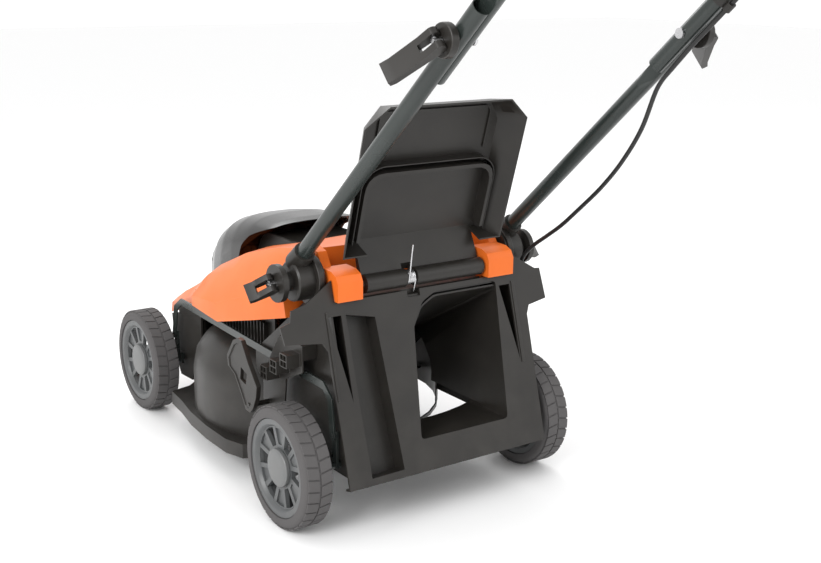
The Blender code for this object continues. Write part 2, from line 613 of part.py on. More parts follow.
# ---- Motor, blade ---------------------------------------------------------------------------------
def motor_parts(body, blade_body):
    """The motor on the deck and everything that turns with its shaft."""
    at_blade = Matrix.Translation((0, BLADE_Y, 0))
    seat = DECK_TOP + GAP
    profile = [(0.014, seat), (0.062, seat), (0.062, seat + MOTOR_RISE - 0.006),
               (0.050, seat + MOTOR_RISE), (0.014, seat + MOTOR_RISE)]
    part("motor_housing", body, "black_plastic", placed(ring(profile, 24), at_blade))
    board = part("control_board", body, "dark_steel", box((-0.070, 0.120, 0.275), (0.070, 0.165, 0.279)))
    add(board, box((-0.030, 0.125, 0.277), (0.030, 0.155, 0.290)))
    for x in (-0.056, 0.050):
        add(board, box((x, 0.148, 0.2360), (x + 0.006, 0.152, 0.277)))
    shaft = placed(stack([(0.008, BLADE_HEIGHT + 0.010), (0.008, seat + 0.045)], 16), at_blade)
    part("motor_shaft", blade_body, "zinc_steel", shaft)
    hub = BLADE_HEIGHT + 0.003 + GAP
    fan_profile = [(0.0083, hub), (0.030, hub), (0.030, hub + 0.004), (0.085, hub + 0.006), (0.085, hub + 0.008),
                   (0.030, hub + 0.012), (0.018, hub + 0.035), (0.0083, hub + 0.035)]
    part("blade_fan", blade_body, "black_plastic", placed(ring(fan_profile, 16), at_blade))
    half, chord = BLADE_LENGTH / 2, 0.026
    sections = []
    for x, twist, lift in ((-half, 0.0, 0.010), (-half * 0.72, 0.0, 0.002), (-half * 0.55, 0.0, 0), (0, 0.0, 0),
                           (half * 0.55, 0, 0), (half * 0.72, 0, 0.002), (half, 0, 0.010)):
        way = 1 if x > 0 else -1
        back, front = (lift, 0) if way > 0 else (0, lift)
        sections.append([(x, -chord, BLADE_HEIGHT + back), (x, chord, BLADE_HEIGHT + front),
                         (x, chord, BLADE_HEIGHT + front + 0.003), (x, -chord, BLADE_HEIGHT + back + 0.003)])
    blade = part("blade", blade_body, "dark_steel", placed(loft(sections), at_blade))
    cut(blade, placed(stack([(0.0053, 0.05), (0.0053, 0.12)], 16), at_blade))
    bolt = [(0.011, BLADE_HEIGHT - 0.007), (0.011, BLADE_HEIGHT - GAP), (0.0050, BLADE_HEIGHT - GAP),
            (0.0050, BLADE_HEIGHT + 0.010 - GAP)]
    part("blade_bolt", blade_body, "zinc_steel", placed(stack(bolt, 12), at_blade))


# ---- Wheels and height adjustment -----------------------------------------------------------------
WHEEL_SIDES = 20
BEAD_SLOPE = 0.003


def tyre_profile(half):
    """The tyre's section as (radius, offset) round the rim."""
    rim, out = RIM_RADIUS + GAP, WHEEL_RADIUS
    return [(rim, -half), (out - 0.006, -half), (out, -half + 0.005), (out, half - 0.005), (out - 0.006, half),
            (rim, half), (rim, half - 0.010), (rim - 0.006, half - 0.010 - BEAD_SLOPE),
            (rim - 0.006, -half + 0.010 + BEAD_SLOPE), (rim, -half + 0.010)]


def rim_profile(half):
    """The rim's section: a web, its hub and the bead the tyre seats on."""
    bead, well, bore = RIM_RADIUS, RIM_RADIUS - 0.006 - GAP, STUB_RADIUS + GAP
    edge = half - 0.010 + 2 * GAP
    return [(bore, half - 0.012), (0.018, half - 0.012), (bead - 0.010, half - 0.008), (bead, half - 0.002),
            (bead, edge), (well, edge - BEAD_SLOPE), (well, -edge + BEAD_SLOPE), (bead, -edge),
            (bead, -half + 0.002), (bead - 0.010, -half + 0.002), (bead - 0.011, half - 0.013),
            (0.018, half - 0.016), (0.016, -half + 0.006), (bore, -half + 0.006)]


def wheel(axle, name, side, outer_x):
    """One wheel: tyre, rim with six windows and hub cap, turning on its stub."""
    half = TYRE_WIDTH / 2
    centre = side * (outer_x - half)
    body = pivot(f"wheel_{name}", axle + Vector((centre, 0, 0)), BODIES["rear" if "rear" in name else "front"])
    out = Matrix.Translation(axle + Vector((centre, 0, 0))) @ Matrix.Rotation(side * pi / 2, 4, "Y")
    part(f"tyre_{name}", body, "tyre_rubber", placed(ring(tyre_profile(half), WHEEL_SIDES, True), out))
    rim = part(f"rim_{name}", body, "rim_grey", placed(ring(rim_profile(half), WHEEL_SIDES, True), out))
    for i in range(6):
        turn = Matrix.Rotation(2 * pi * i / 6, 4, "Z")
        window = [(0.034, -0.0060), (0.056, -0.0150), (0.056, 0.0150), (0.034, 0.0060)]
        cut(rim, placed(prism(window, half - 0.030, half), out @ turn))
    cap = [(0.0150, half - 0.0117), (0.0150, half - 0.0075), (HUB_CAP_RADIUS, half - 0.0075),
           (HUB_CAP_RADIUS, half - 0.0035), (HUB_CAP_RADIUS - 0.004, half - 0.0008)]
    part(f"hub_cap_{name}", body, "cap_grey", placed(stack(cap, 12), out))


def axle_carrier(body, name, hub, crank_x, arm_x, track_outer):
    """A torsion rod with a crank and wheel stub at each end, and the link bar's arm on the left."""
    rod_half = crank_x + CRANK_PLATE / 2
    left = -max(rod_half, -arm_x)
    rod = along_x(stack([(STUB_RADIUS, left), (STUB_RADIUS, rod_half)], 16), 0, hub.y, hub.z)
    carrier = part(name, body, "zinc_steel", rod)
    axle = hub + Vector((0, CRANK_REACH, CRANK_RISE))
    for side in (-1, 1):
        x0, x1 = sorted((side * (crank_x - CRANK_PLATE / 2), side * (crank_x + CRANK_PLATE / 2)))
        arm = [(hub.y - 0.009, hub.z - 0.009), (axle.y + 0.008, axle.z - 0.008), (axle.y + 0.009, axle.z + 0.006),
               (hub.y - 0.006, hub.z + 0.010)]
        add(carrier, block(x0, x1, arm))
        reach = track_outer / 2 - 0.0145
        x0, x1 = sorted((side * crank_x, side * reach))
        add(carrier, along_x(stack([(STUB_RADIUS, 0), (STUB_RADIUS, x1 - x0)], 16), x0, axle.y, axle.z))
    pin = hub + Vector((0, 0, CRANK_PIN_RISE))
    x0, x1 = arm_x, arm_x + CRANK_PLATE
    lever = [(hub.y - 0.007, hub.z - 0.004), (hub.y + 0.007, hub.z - 0.004), (pin.y + 0.006, pin.z + 0.006),
             (pin.y - 0.006, pin.z + 0.006)]
    add(carrier, block(x0, x1, lever))
    stud = along_x(stack([(0.003, 0), (0.003, 0.006)], 12), x0 - 0.0042, pin.y, pin.z)
    add(carrier, stud)
    return carrier


def link_x(arm_x):
    """Middle of the link bar beside a carrier's arm."""
    return arm_x - 0.0005 - LINK_BAR_THICKNESS / 2


def link_bar(body):
    """The flat strap that ties the two carriers, bent down to its pin at both ends."""
    back, front = REAR_PIVOT + Vector((0, 0, CRANK_PIN_RISE)), FRONT_PIVOT + Vector((0, 0, CRANK_PIN_RISE))
    half = LINK_BAR_WIDTH / 2
    thick = LINK_BAR_THICKNESS / 2
    route = [(back.y, back.z), (back.y + 0.006, LINK_LEVEL - 0.016), (back.y + 0.024, LINK_LEVEL),
             (front.y - 0.034, LINK_LEVEL), (front.y - 0.010, LINK_LEVEL - 0.016), (front.y, front.z)]
    rings = []
    for i, (y, z) in enumerate(route):
        before, after = route[max(i - 1, 0)], route[min(i + 1, len(route) - 1)]
        way = Vector((after[0] - before[0], after[1] - before[1])).normalized()
        across = Vector((-way.y, way.x)) * half
        share = min(max((y - back.y - 0.024) / (front.y - back.y - 0.058), 0), 1)
        x = link_x(REAR_ARM_X) * (1 - share) + link_x(FRONT_ARM_X) * share
        rings.append([(x - thick, y - across.x, z - across.y), (x + thick, y - across.x, z - across.y),
                      (x + thick, y + across.x, z + across.y), (x - thick, y + across.x, z + across.y)])
    bar = part("link_bar", body, "tube_paint", loft(rings))
    for pin, arm_x in ((back, REAR_ARM_X), (front, FRONT_ARM_X)):
        eye = along_x(stack([(half + 0.001, -thick), (half + 0.001, thick)], 16), link_x(arm_x), pin.y, pin.z)
        add(bar, eye)
        cut(bar, along_x(stack([(0.0035, -0.01), (0.0035, 0.01)], 12), link_x(arm_x), pin.y, pin.z))
    return bar


LEVER_PIVOT = Vector((-0.2215, 0.104, 0.150))
LEVER_TOP = Vector((-0.2215, 0.158, 0.240))
LEVER_THICKNESS = 0.004


def height_lever(body):
    """The hand lever: a flat plate with a diamond window and a rounded knob at its top."""
    outline = [(0.094, 0.141), (0.116, 0.138), (0.133, 0.155), (0.157, 0.178), (0.177, 0.196), (0.172, 0.226),
               (0.164, 0.244), (0.152, 0.244), (0.138, 0.222), (0.108, 0.180), (0.092, 0.158)]
    x0, x1 = LEVER_PIVOT.x - LEVER_THICKNESS / 2, LEVER_PIVOT.x + LEVER_THICKNESS / 2
    lever = part("height_lever", body, "black_plastic", block(x0, x1, outline))
    diamond = [(0.128, 0.176), (0.141, 0.186), (0.149, 0.206), (0.137, 0.195)]
    cut(lever, block(x0 - 0.01, x1 + 0.01, diamond))
    add(lever, along_x(stack([(0.008, -0.007), (0.009, -0.004), (0.009, 0.004), (0.008, 0.007)], 16),
                       LEVER_TOP.x, LEVER_TOP.y, LEVER_TOP.z))
    cut(lever, along_x(stack([(0.0043, -0.02), (0.0043, 0.02)], 12), *LEVER_PIVOT))
    return lever


def height_quadrant(body):
    """The notched cheek beside the lever, with its stepped ribs and the lever's fixed pin."""
    x_out, x_face, x_in = -0.212, -0.187, -CHEEK_X - GAP
    plate = [(0.060, 0.132), (0.112, 0.132), (0.122, 0.150), (0.120, 0.192), (0.070, 0.262), (0.004, 0.262),
             (0.004, 0.222), (0.052, 0.200)]
    quadrant = part("height_quadrant", body, "black_plastic", block(x_face - 0.003, x_face, plate))
    add(quadrant, box((x_face - 0.001, 0.004, 0.240), (x_in, 0.062, 0.262)))
    add(quadrant, along_x(stack([(0.004, 0), (0.004, x_face - 0.001 - LEVER_PIVOT.x + 0.004)], 16),
                          LEVER_PIVOT.x - 0.004, LEVER_PIVOT.y, LEVER_PIVOT.z))
    for i in range(3):
        y, z = 0.010 + 0.030 * i, 0.240 - 0.017 * i
        add(quadrant, box((x_out, y, z - 0.010), (x_face - 0.001, y + 0.020, z + 0.010)))
        for row in (-0.0085, 0.0010):
            for column in (0.0020, 0.0105):
                low = (x_out - 0.01, y + column, z + row)
                cut(quadrant, box(low, (x_out + 0.018, low[1] + 0.0075, low[2] + 0.0075)))
    return quadrant


# ---- Discharge flap -------------------------------------------------------------------------------
SPRING_X = (-0.0345, -0.0175)  # the gap in the flap's barrel that holds the spring
SPRING_RADIUS = 0.0085
SPRING_WIRE = 0.0008
SPRING_TURNS = 5
BARREL_HALF = 0.104


def flap_local(outline, low, high):
    """A prism in the flap's frame."""
    return placed(prism(outline, low, high), FLAP_FRAME)


def mirror_outline(right):
    """A symmetric outline from its right half, given from the bottom up."""
    return [*right, *[(-x, y) for x, y in reversed(right)]]


def discharge_flap(body):
    """The flap: a shallow tray with an arched rib inside and a barrel that turns on the rod."""
    low = -FLAP_RIM_SET_BACK - FLAP_DEPTH
    high = -FLAP_RIM_SET_BACK
    wide, narrow, wall = FLAP_HALF_WIDTH, FLAP_HALF_WIDTH - 0.024, FLAP_WALL
    rim = mirror_outline([(wide, 0.040), (wide, FLAP_LENGTH - 0.030), (wide - 0.036, FLAP_LENGTH)])
    back = mirror_outline([(narrow, 0.045), (narrow, FLAP_LENGTH - 0.043), (narrow - 0.021, FLAP_LENGTH - 0.013)])
    rim_in = mirror_outline([(wide - wall, 0.040 + wall), (wide - wall, FLAP_LENGTH - 0.031),
                             (wide - 0.037, FLAP_LENGTH - wall)])
    back_in = mirror_outline([(narrow - wall, 0.045 + wall), (narrow - wall, FLAP_LENGTH - 0.044),
                              (narrow - 0.022, FLAP_LENGTH - 0.013 - wall)])
    outer = loft([[(x, y, low) for x, y in back], [(x, y, high) for x, y in rim]])
    inner = loft([[(x, y, low + wall) for x, y in back_in], [(x, y, high + 0.0001) for x, y in rim_in]])
    flap = part("discharge_flap", body, "black_plastic", placed(outer, FLAP_FRAME))
    cut(flap, placed(inner, FLAP_FRAME))
    cut(flap, placed(box((-0.100, 0.03, low + wall + 0.0005), (0.100, 0.052, 0.01)), FLAP_FRAME))
    skin = [(0.049, low), (0.049, low + wall), (0.010, -0.0080), (-0.002, -0.0060), (-0.006, -0.0100)]
    add(flap, placed(side_prism(skin, BARREL_HALF), FLAP_FRAME))
    arch_out = rounded(mirror_outline([(0.112, 0.055), (0.112, 0.160)]), 0.030, 5)[6:18]
    arch = [(0.112, 0.055), *arch_out, (-0.112, 0.055)]
    arch_in = [(x * 0.950, 0.055 + (y - 0.055) * 0.945) for x, y in reversed(arch)]
    add(flap, flap_local([*arch, *arch_in], low + wall / 2, high - 0.014))
    barrel = along_x(stack([(BARREL_RADIUS, -BARREL_HALF), (BARREL_RADIUS, BARREL_HALF)], 20), 0, HINGE.y, HINGE.z)
    add(flap, barrel)
    cut(flap, along_x(stack([(ROD_RADIUS + GAP, -0.12), (ROD_RADIUS + GAP, 0.12)], 12), 0, HINGE.y, HINGE.z))
    cut(flap, placed(box((SPRING_X[0], -0.0165, -0.0165), (SPRING_X[1], 0.0165, 0.0165)), FLAP_FRAME))
    return flap


def flap_spring(body):
    """The torsion spring on the rod: a coil with one leg up the flap and one down to the panel."""
    steps = 8
    start, end = SPRING_X[0] + 0.0022, SPRING_X[1] - 0.0022
    route = [Vector((start, 0.050, 0.0035)), Vector((start, 0.020, 0.0070))]
    total = SPRING_TURNS * steps
    for i in range(total + 1):
        turn = pi / 2 + 2 * pi * i / steps
        x = start + (end - start) * i / total
        route.append(Vector((x, SPRING_RADIUS * cos(turn), SPRING_RADIUS * sin(turn))))
    route.append(Vector((end, -0.0200, SPRING_RADIUS)))
    wire = sweep([FLAP_FRAME @ p for p in route], SPRING_WIRE, 5)
    return part("flap_spring", body, "zinc_steel", wire)


def flap_rod(body):
    """The steel rod through both hinge caps and the flap's barrel."""
    rod = along_x(stack([(ROD_RADIUS, -ROD_HALF), (ROD_RADIUS, ROD_HALF)], 12), 0, HINGE.y, HINGE.z)
    return part("flap_rod", body, "zinc_steel", rod)


# ---- Handle ---------------------------------------------------------------------------------------
BOSS_FACE = 0.1740
SOCKET_FACE = BOSS_FACE + GAP
PIVOT_DISC_FACE = 0.2235  # outer face of the pivot's disc
SEAT_FACE = 0.2080  # outer face of the clamp's seat
CAM_PIN_RADIUS = 0.0025
TUBE_START = 0.010
COLLAR_RADIUS = 0.0152
COLLAR_LENGTH = 0.030


def sided(side, near, far):
    """X range of a piece between two distances from the middle plane."""
    return sorted((side * near, side * far))


def disc(side, near, far, radius, place, sides=24):
    """A round plate about an X axis through place, on one side of the machine."""
    x0, x1 = sided(side, near, far)
    return along_x(stack([(radius, 0), (radius, x1 - x0)], sides), x0, place.y, place.z)


def pivot_boss(body, side, name):
    """The round pad on the deck's tower that the handle turns against."""
    boss = part(f"pivot_boss_{name}", body, "black_plastic", disc(side, CHEEK_X + GAP, BOSS_FACE, BOSS_RADIUS,
                                                                  HANDLE_PIVOT, 32))
    cut(boss, disc(side, CHEEK_X - 0.01, BOSS_FACE + 0.01, BOLT_RADIUS + GAP, HANDLE_PIVOT, 12))
    return boss


def pivot_socket(body, side, name):
    """The moulded knuckle that turns on the boss, grips the tube's foot and ends in a disc."""
    near, far = SOCKET_FACE, PIVOT_DISC_FACE
    profile = [(0.029, near), (0.029, near + 0.024), (0.0265, near + 0.0265), (0.014, near + 0.0265),
               (0.014, far - 0.010), (DISC_RADIUS, far - 0.008), (DISC_RADIUS, far)]
    turned = along_x(stack(profile, 20), 0, HANDLE_PIVOT.y, HANDLE_PIVOT.z)
    socket = part(f"pivot_socket_{name}", body, "black_plastic", turned if side > 0 else mirrored(turned))
    foot = Vector((side * TUBE_X, TUBE_FOOT.y, TUBE_FOOT.z))
    stand = Matrix.Translation(foot) @ TUBE_FRAME
    add(socket, placed(stack([(COLLAR_RADIUS + 0.002, 0), (COLLAR_RADIUS, COLLAR_LENGTH)], 20), stand))
    inner = [(TUBE_RADIUS + GAP, TUBE_START - GAP), (TUBE_RADIUS + GAP, COLLAR_LENGTH + 0.02)]
    cut(socket, placed(stack(inner, 20), stand))
    cut(socket, disc(side, CHEEK_X - 0.01, SOCKET_FACE, BOSS_RADIUS + 0.0005, HANDLE_PIVOT, 32))
    cut(socket, disc(side, near - 0.01, far + 0.01, BOLT_RADIUS + GAP, HANDLE_PIVOT, 12))
    return socket


def pressed(solid, keep):
    """Moves a tube's points by keep(point, wall), where wall is its thickness on the inner surface."""
    points, faces = solid
    half = len(points) // 2
    return [keep(p, TUBE_WALL if i >= half else 0.0) for i, p in enumerate(points)], faces


def lower_tube(body, side, name):
    """A straight tube from its socket to just past the clamp bolt, pressed flat inside at the top."""
    foot = Vector((side * TUBE_X, TUBE_FOOT.y, TUBE_FOOT.z))
    end = LOWER_TUBE_REACH + LOWER_TUBE_OVERRUN
    flat = LOWER_TUBE_REACH - UPPER_TUBE_OVERRUN - 0.012
    stops = [TUBE_START, flat - 0.030, flat, end]
    tube = sweep([foot + TUBE_UP * s for s in stops], TUBE_RADIUS, 16, TUBE_RADIUS - TUBE_WALL)

    def keep(p, wall):
        if (p - foot).dot(TUBE_UP) < flat - 0.001:
            return p
        return Vector((side * max(side * p.x, PRESS_X + wall), p.y, p.z))

    tube = pressed(tube, keep)
    made = part(f"lower_tube_{name}", body, "tube_paint", tube)
    bolt = foot + TUBE_UP * LOWER_TUBE_REACH
    cut(made, disc(side, 0.15, 0.21, BOLT_RADIUS + GAP, bolt, 12))
    return made


def upper_handle_tube(body):
    """One tube bent into a U: up one side, across under the grip and down the other."""
    start = CLAMP_BOLT - TUBE_UP * UPPER_TUBE_OVERRUN
    flat_end = UPPER_TUBE_OVERRUN + LOWER_TUBE_OVERRUN + 0.010
    half, corner = UPPER_TUBE_X, HANDLE_CORNER
    rise = UPPER_TUBE_OVERRUN + UPPER_REACH
    right = [start + TUBE_UP * s + Vector((half, 0, 0)) for s in (0, flat_end, flat_end + 0.03, rise - corner)]
    turn = [start + TUBE_UP * (rise - corner + corner * sin(t)) + Vector((half - corner + corner * cos(t), 0, 0))
            for t in [pi / 2 * i / 5 for i in range(1, 6)]]
    path = right + turn
    path += [Vector((-p.x, p.y, p.z)) for p in reversed(path)]
    tube = sweep(path, TUBE_RADIUS, 14, TUBE_RADIUS - TUBE_WALL)

    def keep(p, wall):
        if (p - start).dot(TUBE_UP) > flat_end + 0.001:
            return p
        limit = PRESS_X - GAP - wall
        return Vector((max(-limit, min(limit, p.x)), p.y, p.z))

    made = part("upper_handle_tube", body, "tube_paint", pressed(tube, keep))
    for side in (-1, 1):
        cut(made, disc(side, 0.15, 0.21, BOLT_RADIUS + GAP, CLAMP_BOLT, 12))
    return made


def cross_pin(face):
    """Distance from the middle plane to a cam's pin, over a seat whose outer face is at face."""
    return face + CAM_RADIUS + GAP


def clamp_bolt(body, side, name, place, inner, face):
    """A bolt through the tubes: its domed head inside, its cross pin outside the seat at face."""
    outer = cross_pin(face) + 0.0045
    x0, x1 = sided(side, inner - 0.001, outer)
    shank = stack([(BOLT_RADIUS, 0), (BOLT_RADIUS, x1 - x0)], 12)
    bolt = part(name, body, "zinc_steel", along_x(shank, x0, place.y, place.z))
    add(bolt, disc(side, inner - 0.0035, inner, 0.0068, place, 16))
    middle = Vector((side * cross_pin(face), place.y, place.z))
    add(bolt, sweep([middle - TUBE_NORMAL * 0.0115, middle + TUBE_NORMAL * 0.0115], CAM_PIN_RADIUS, 10))
    return bolt


def cam_lever(body, side, name, place, face, lean, length):
    """A forked lever whose round cam turns on the bolt's cross pin; lean is its angle off the bolt."""
    root = Vector((side * cross_pin(face), place.y, place.z))
    way = Vector((side * cos(lean), 0, 0)) - TUBE_UP * sin(lean)
    across = TUBE_NORMAL * side
    lift = across.cross(way)
    frame = Matrix.Translation(root) @ Matrix((
        (way.x, lift.x, across.x, 0), (way.y, lift.y, across.y, 0), (way.z, lift.z, across.z, 0), (0, 0, 0, 1)))
    back = circle(CAM_RADIUS, 8, (0, 0), pi / 2, pi)
    outline = [*back, (0.016, -0.0050), (length - 0.012, -0.0030), (length, -0.0050), (length + 0.001, 0.0030),
               (length - 0.006, 0.0060)]
    lever = part(name, body, "black_plastic", placed(prism(outline, -0.0135, 0.0135), frame))
    cut(lever, placed(box((-0.02, -0.02, -0.0050), (0.020, 0.02, 0.0050)), frame))
    cut(lever, sweep([root - across * 0.0125, root + across * 0.0125], CAM_PIN_RADIUS + GAP, 12))
    return lever


def clamp_seat(body, side, name):
    """The round seat between the outer tube and the cam."""
    seat = part(f"clamp_seat_{name}", body, "black_plastic",
                disc(side, TUBE_X + TUBE_RADIUS + GAP, SEAT_FACE, SEAT_RADIUS, CLAMP_BOLT))
    cut(seat, disc(side, 0.15, 0.25, BOLT_RADIUS + GAP, CLAMP_BOLT, 12))
    return seat


SWITCH_X = (0.036, 0.106)
BUTTON_X = (0.060, 0.080)


def switch_box(body):
    """The control box on the grip's bar."""
    frame = Matrix.Translation(GRIP_MIDDLE) @ TUBE_FRAME
    low, high = (SWITCH_X[0], -SWITCH_BELOW, -SWITCH_SHORT), (SWITCH_X[1], SWITCH_ABOVE, SWITCH_PAST)
    case = part("switch_box", body, "black_plastic", placed(box(low, high), frame))
    bar = along_x(stack([(TUBE_RADIUS + GAP, 0), (TUBE_RADIUS + GAP, 0.4)], 16), -0.2, GRIP_MIDDLE.y, GRIP_MIDDLE.z)
    cut(case, bar)
    cut(case, placed(box((BUTTON_X[0], 0.008, -0.052), (BUTTON_X[1], 0.030, -0.030)), frame))
    return case


def start_button(body):
    """The start button, sprung in its well on the switch box."""
    frame = Matrix.Translation(GRIP_MIDDLE) @ TUBE_FRAME
    clear = 0.0005
    shape = box((BUTTON_X[0] + clear, 0.0115, -0.052 + clear), (BUTTON_X[1] - clear, 0.0270, -0.030 - clear))
    return part("start_button", body, "orange_plastic", placed(shape, frame))


def grip_sleeve(body):
    """The soft sleeve over the grip's bar, left of the switch box."""
    start = HANDLE_CORNER - UPPER_TUBE_X + 0.003
    end = SWITCH_X[0] - 0.001 - start
    profile = [(TUBE_RADIUS + GAP, 0), (GRIP_RADIUS, 0), (GRIP_RADIUS, end), (TUBE_RADIUS + GAP, end)]
    return part("grip_sleeve", body, "tyre_rubber", along_x(ring(profile, 20, True), start, GRIP_MIDDLE.y, GRIP_MIDDLE.z))


BAIL_AXIS = CLAMP_BOLT + TUBE_UP * (UPPER_REACH - 0.100)
BAIL_RADIUS = 0.004
BAIL_REACH = 0.118
BAIL_OPEN = radians(45)  # stands this far off the tubes at rest


def bail_lever(body):
    """The wire bail: pivoted inside both handle tubes and standing off the grip at rest."""
    inner, corner = UPPER_TUBE_X - TUBE_RADIUS - 0.0006, 0.025
    way = TUBE_UP * cos(BAIL_OPEN) + TUBE_NORMAL * sin(BAIL_OPEN)
    side = inner - 0.016
    right = [(inner, 0), (inner - 0.010, 0), (inner - 0.0155, 0.004), (side, 0.012), (side, BAIL_REACH - corner)]
    for i in range(1, 6):
        t = pi / 2 * i / 5
        right.append((side - corner * (1 - cos(t)), BAIL_REACH - corner + corner * sin(t)))
    path = [BAIL_AXIS + way * r + Vector((x, 0, 0)) for x, r in right]
    path += [Vector((-p.x, p.y, p.z)) for p in reversed(path)]
    return part("bail_lever", body, "zinc_steel", sweep(path, BAIL_RADIUS, 10))


# ---- Control cable ---------------------------------------------------------------------------------
CABLE_RADIUS = 0.0031
CLIP_REACH = 0.071  # the clip above the clamp bolt
CABLE_BELOW = 0.0175  # the cable's line below the tube's
GLAND = Vector((0.190, -0.0155, 0.322))


def on_handle(x, reach, below):
    """A point beside the handle: reach up from the clamp bolt, and below the tube's line."""
    return CLAMP_BOLT + TUBE_UP * reach - TUBE_NORMAL * below + Vector((x, 0, 0))


def cable_clip(body):
    """A snap clip round the tube with a smaller loop below it that holds the cable."""
    low = 0.006
    tube_at = Matrix.Translation(on_handle(UPPER_TUBE_X, CLIP_REACH, 0)) @ TUBE_FRAME
    eye_at = Matrix.Translation(on_handle(UPPER_TUBE_X, CLIP_REACH, CABLE_BELOW)) @ TUBE_FRAME
    clip = part("cable_clip", body, "black_plastic",
                placed(stack([(TUBE_RADIUS + 0.003, -low), (TUBE_RADIUS + 0.003, low)], 20), tube_at))
    add(clip, placed(stack([(CABLE_RADIUS + 0.0028, -low), (CABLE_RADIUS + 0.0028, low)], 16), eye_at))
    cut(clip, placed(stack([(CABLE_RADIUS + GAP, -0.01), (CABLE_RADIUS + GAP, 0.01)], 16), eye_at))
    cut(clip, placed(stack([(TUBE_RADIUS + GAP, -0.01), (TUBE_RADIUS + GAP, 0.01)], 20), tube_at))
    return clip


def smooth(points, spacing):
    """Points at a steady spacing along a Catmull-Rom curve through the given points."""
    fine = []
    for i in range(len(points) - 1):
        a, b, c, d = points[max(i - 1, 0)], points[i], points[i + 1], points[min(i + 2, len(points) - 1)]
        for k in range(20):
            t = k / 20
            fine.append(0.5 * (2 * b + (c - a) * t + (2 * a - 5 * b + 4 * c - d) * t**2
                               + (3 * b - a - 3 * c + d) * t**3))
    fine.append(points[-1])
    length = sum((q - p).length for p, q in zip(fine, fine[1:]))
    count = max(round(length / spacing), 2)
    out, run, goal = [fine[0]], 0.0, length / count
    for p, q in zip(fine, fine[1:]):
        step = (q - p).length
        while step > 0 and len(out) < count and run + step >= goal * len(out):
            out.append(p.lerp(q, (goal * len(out) - run) / step))
        run += step
    return [*out, fine[-1]]


def cable(name, body, route):
    """A round cable along a smooth curve through the route."""
    curve = bpy.data.curves.new(name, "CURVE")
    curve.dimensions = "3D"
    curve.bevel_depth = CABLE_RADIUS
    curve.bevel_resolution = 2
    curve.use_fill_caps = True
    points = smooth([Vector(p) for p in route], 5 * CABLE_RADIUS)
    spline = curve.splines.new("POLY")
    spline.points.add(len(points) - 1)
    for slot, point in zip(spline.points, points):
        slot.co = (*(point - Vector(body["place"])), 1.0)
    curve.materials.append(material("cable_black"))
    obj = bpy.data.objects.new(name, curve)
    bpy.context.collection.objects.link(obj)
    obj.parent = body
    return obj


def control_cables(lower, upper):
    """The cable from the switch box down the right tube and, hanging loose, to the gland."""
    x, below = UPPER_TUBE_X, CABLE_BELOW
    box_side = on_handle(SWITCH_X[1] + GAP, UPPER_REACH - 0.040, 0.010)
    top = [box_side, on_handle(0.128, UPPER_REACH - 0.041, 0.0105), on_handle(0.150, UPPER_REACH - 0.055, 0.0135),
           on_handle(0.168, UPPER_REACH - 0.085, 0.0165), on_handle(x, UPPER_REACH - 0.125, below)]
    run = [on_handle(x, reach, below) for reach in (0.25, 0.15, CLIP_REACH + 0.02, CLIP_REACH, CLIP_REACH - 0.02, 0.0)]
    meet = on_handle(0.179, -0.050, 0.0190)
    ahead = on_handle(0.1805, -0.085, 0.0225)
    cable("control_cable_upper", upper, [*top, *run, meet])
    way = (ahead - meet).normalized()
    loose = [(0.182, -0.265, 0.574), (0.184, -0.230, 0.525), (0.186, -0.190, 0.483), (0.188, -0.145, 0.4445),
             (0.189, -0.108, 0.414), (0.190, -0.076, 0.392), (0.190, -0.050, 0.3745), (0.190, -0.030, 0.358),
             (0.190, -0.0195, 0.344), GLAND + Vector((0, 0, 0.010)), GLAND + Vector((0, 0, GAP))]
    cable("control_cable_lower", lower, [meet + way * GAP, ahead, *loose])


def cable_gland(body):
    """The gland beside the right pivot where the cable enters the deck."""
    foot = box((CHEEK_X + GAP, GLAND.y - 0.0085, GLAND.z - 0.038), (GLAND.x + 0.008, GLAND.y + 0.0085, GLAND.z - 0.024))
    gland = part("cable_gland", body, "black_plastic", foot)
    add(gland, placed(stack([(0.0075, -0.026), (0.0060, 0)], 16), Matrix.Translation(GLAND)))
    return gland


# ---- Assembly --------------------------------------------------------------------------------------
clear_scene()
MOWER = pivot("mower", (0, 0, 0))
MOWER.location = (0, CENTRE_SHIFT, 0)
BODIES = {
    "rear": pivot("rear_height_hinge", REAR_PIVOT, MOWER),
    "front": pivot("front_height_hinge", FRONT_PIVOT, MOWER),
}

deck_shell(MOWER)
rear_panel(MOWER)
discharge_chute(MOWER)
top_cover(MOWER)
battery_tray(MOWER)
battery_packs()
safety_key(pivot("safety_key_slide", (0, 0.195, 0.300), MOWER))
battery_hood(pivot("hood_hinge", (0, 0.560, 0.240), MOWER))
motor_parts(MOWER, pivot("blade_spin", (0, BLADE_Y, BLADE_HEIGHT), MOWER))
height_quadrant(MOWER)
height_lever(pivot("height_lever_hinge", LEVER_PIVOT, MOWER))

axle_carrier(BODIES["rear"], "rear_axle", REAR_PIVOT, REAR_CRANK_X, REAR_ARM_X, REAR_TRACK_OUTER)
axle_carrier(BODIES["front"], "front_axle", FRONT_PIVOT, FRONT_CRANK_X, FRONT_ARM_X, FRONT_TRACK_OUTER)
link_bar(pivot("link_bar_pin", REAR_PIVOT + Vector((0, 0, CRANK_PIN_RISE)), BODIES["rear"]))
AXLE_STEP = Vector((0, CRANK_REACH, CRANK_RISE))
for side, hand in ((-1, "left"), (1, "right")):
    wheel(REAR_PIVOT + AXLE_STEP, f"rear_{hand}", side, REAR_TRACK_OUTER / 2)
    wheel(FRONT_PIVOT + AXLE_STEP, f"front_{hand}", side, FRONT_TRACK_OUTER / 2)

FLAP = pivot("flap_hinge", HINGE, MOWER)
discharge_flap(FLAP)
flap_spring(FLAP)
flap_rod(MOWER)

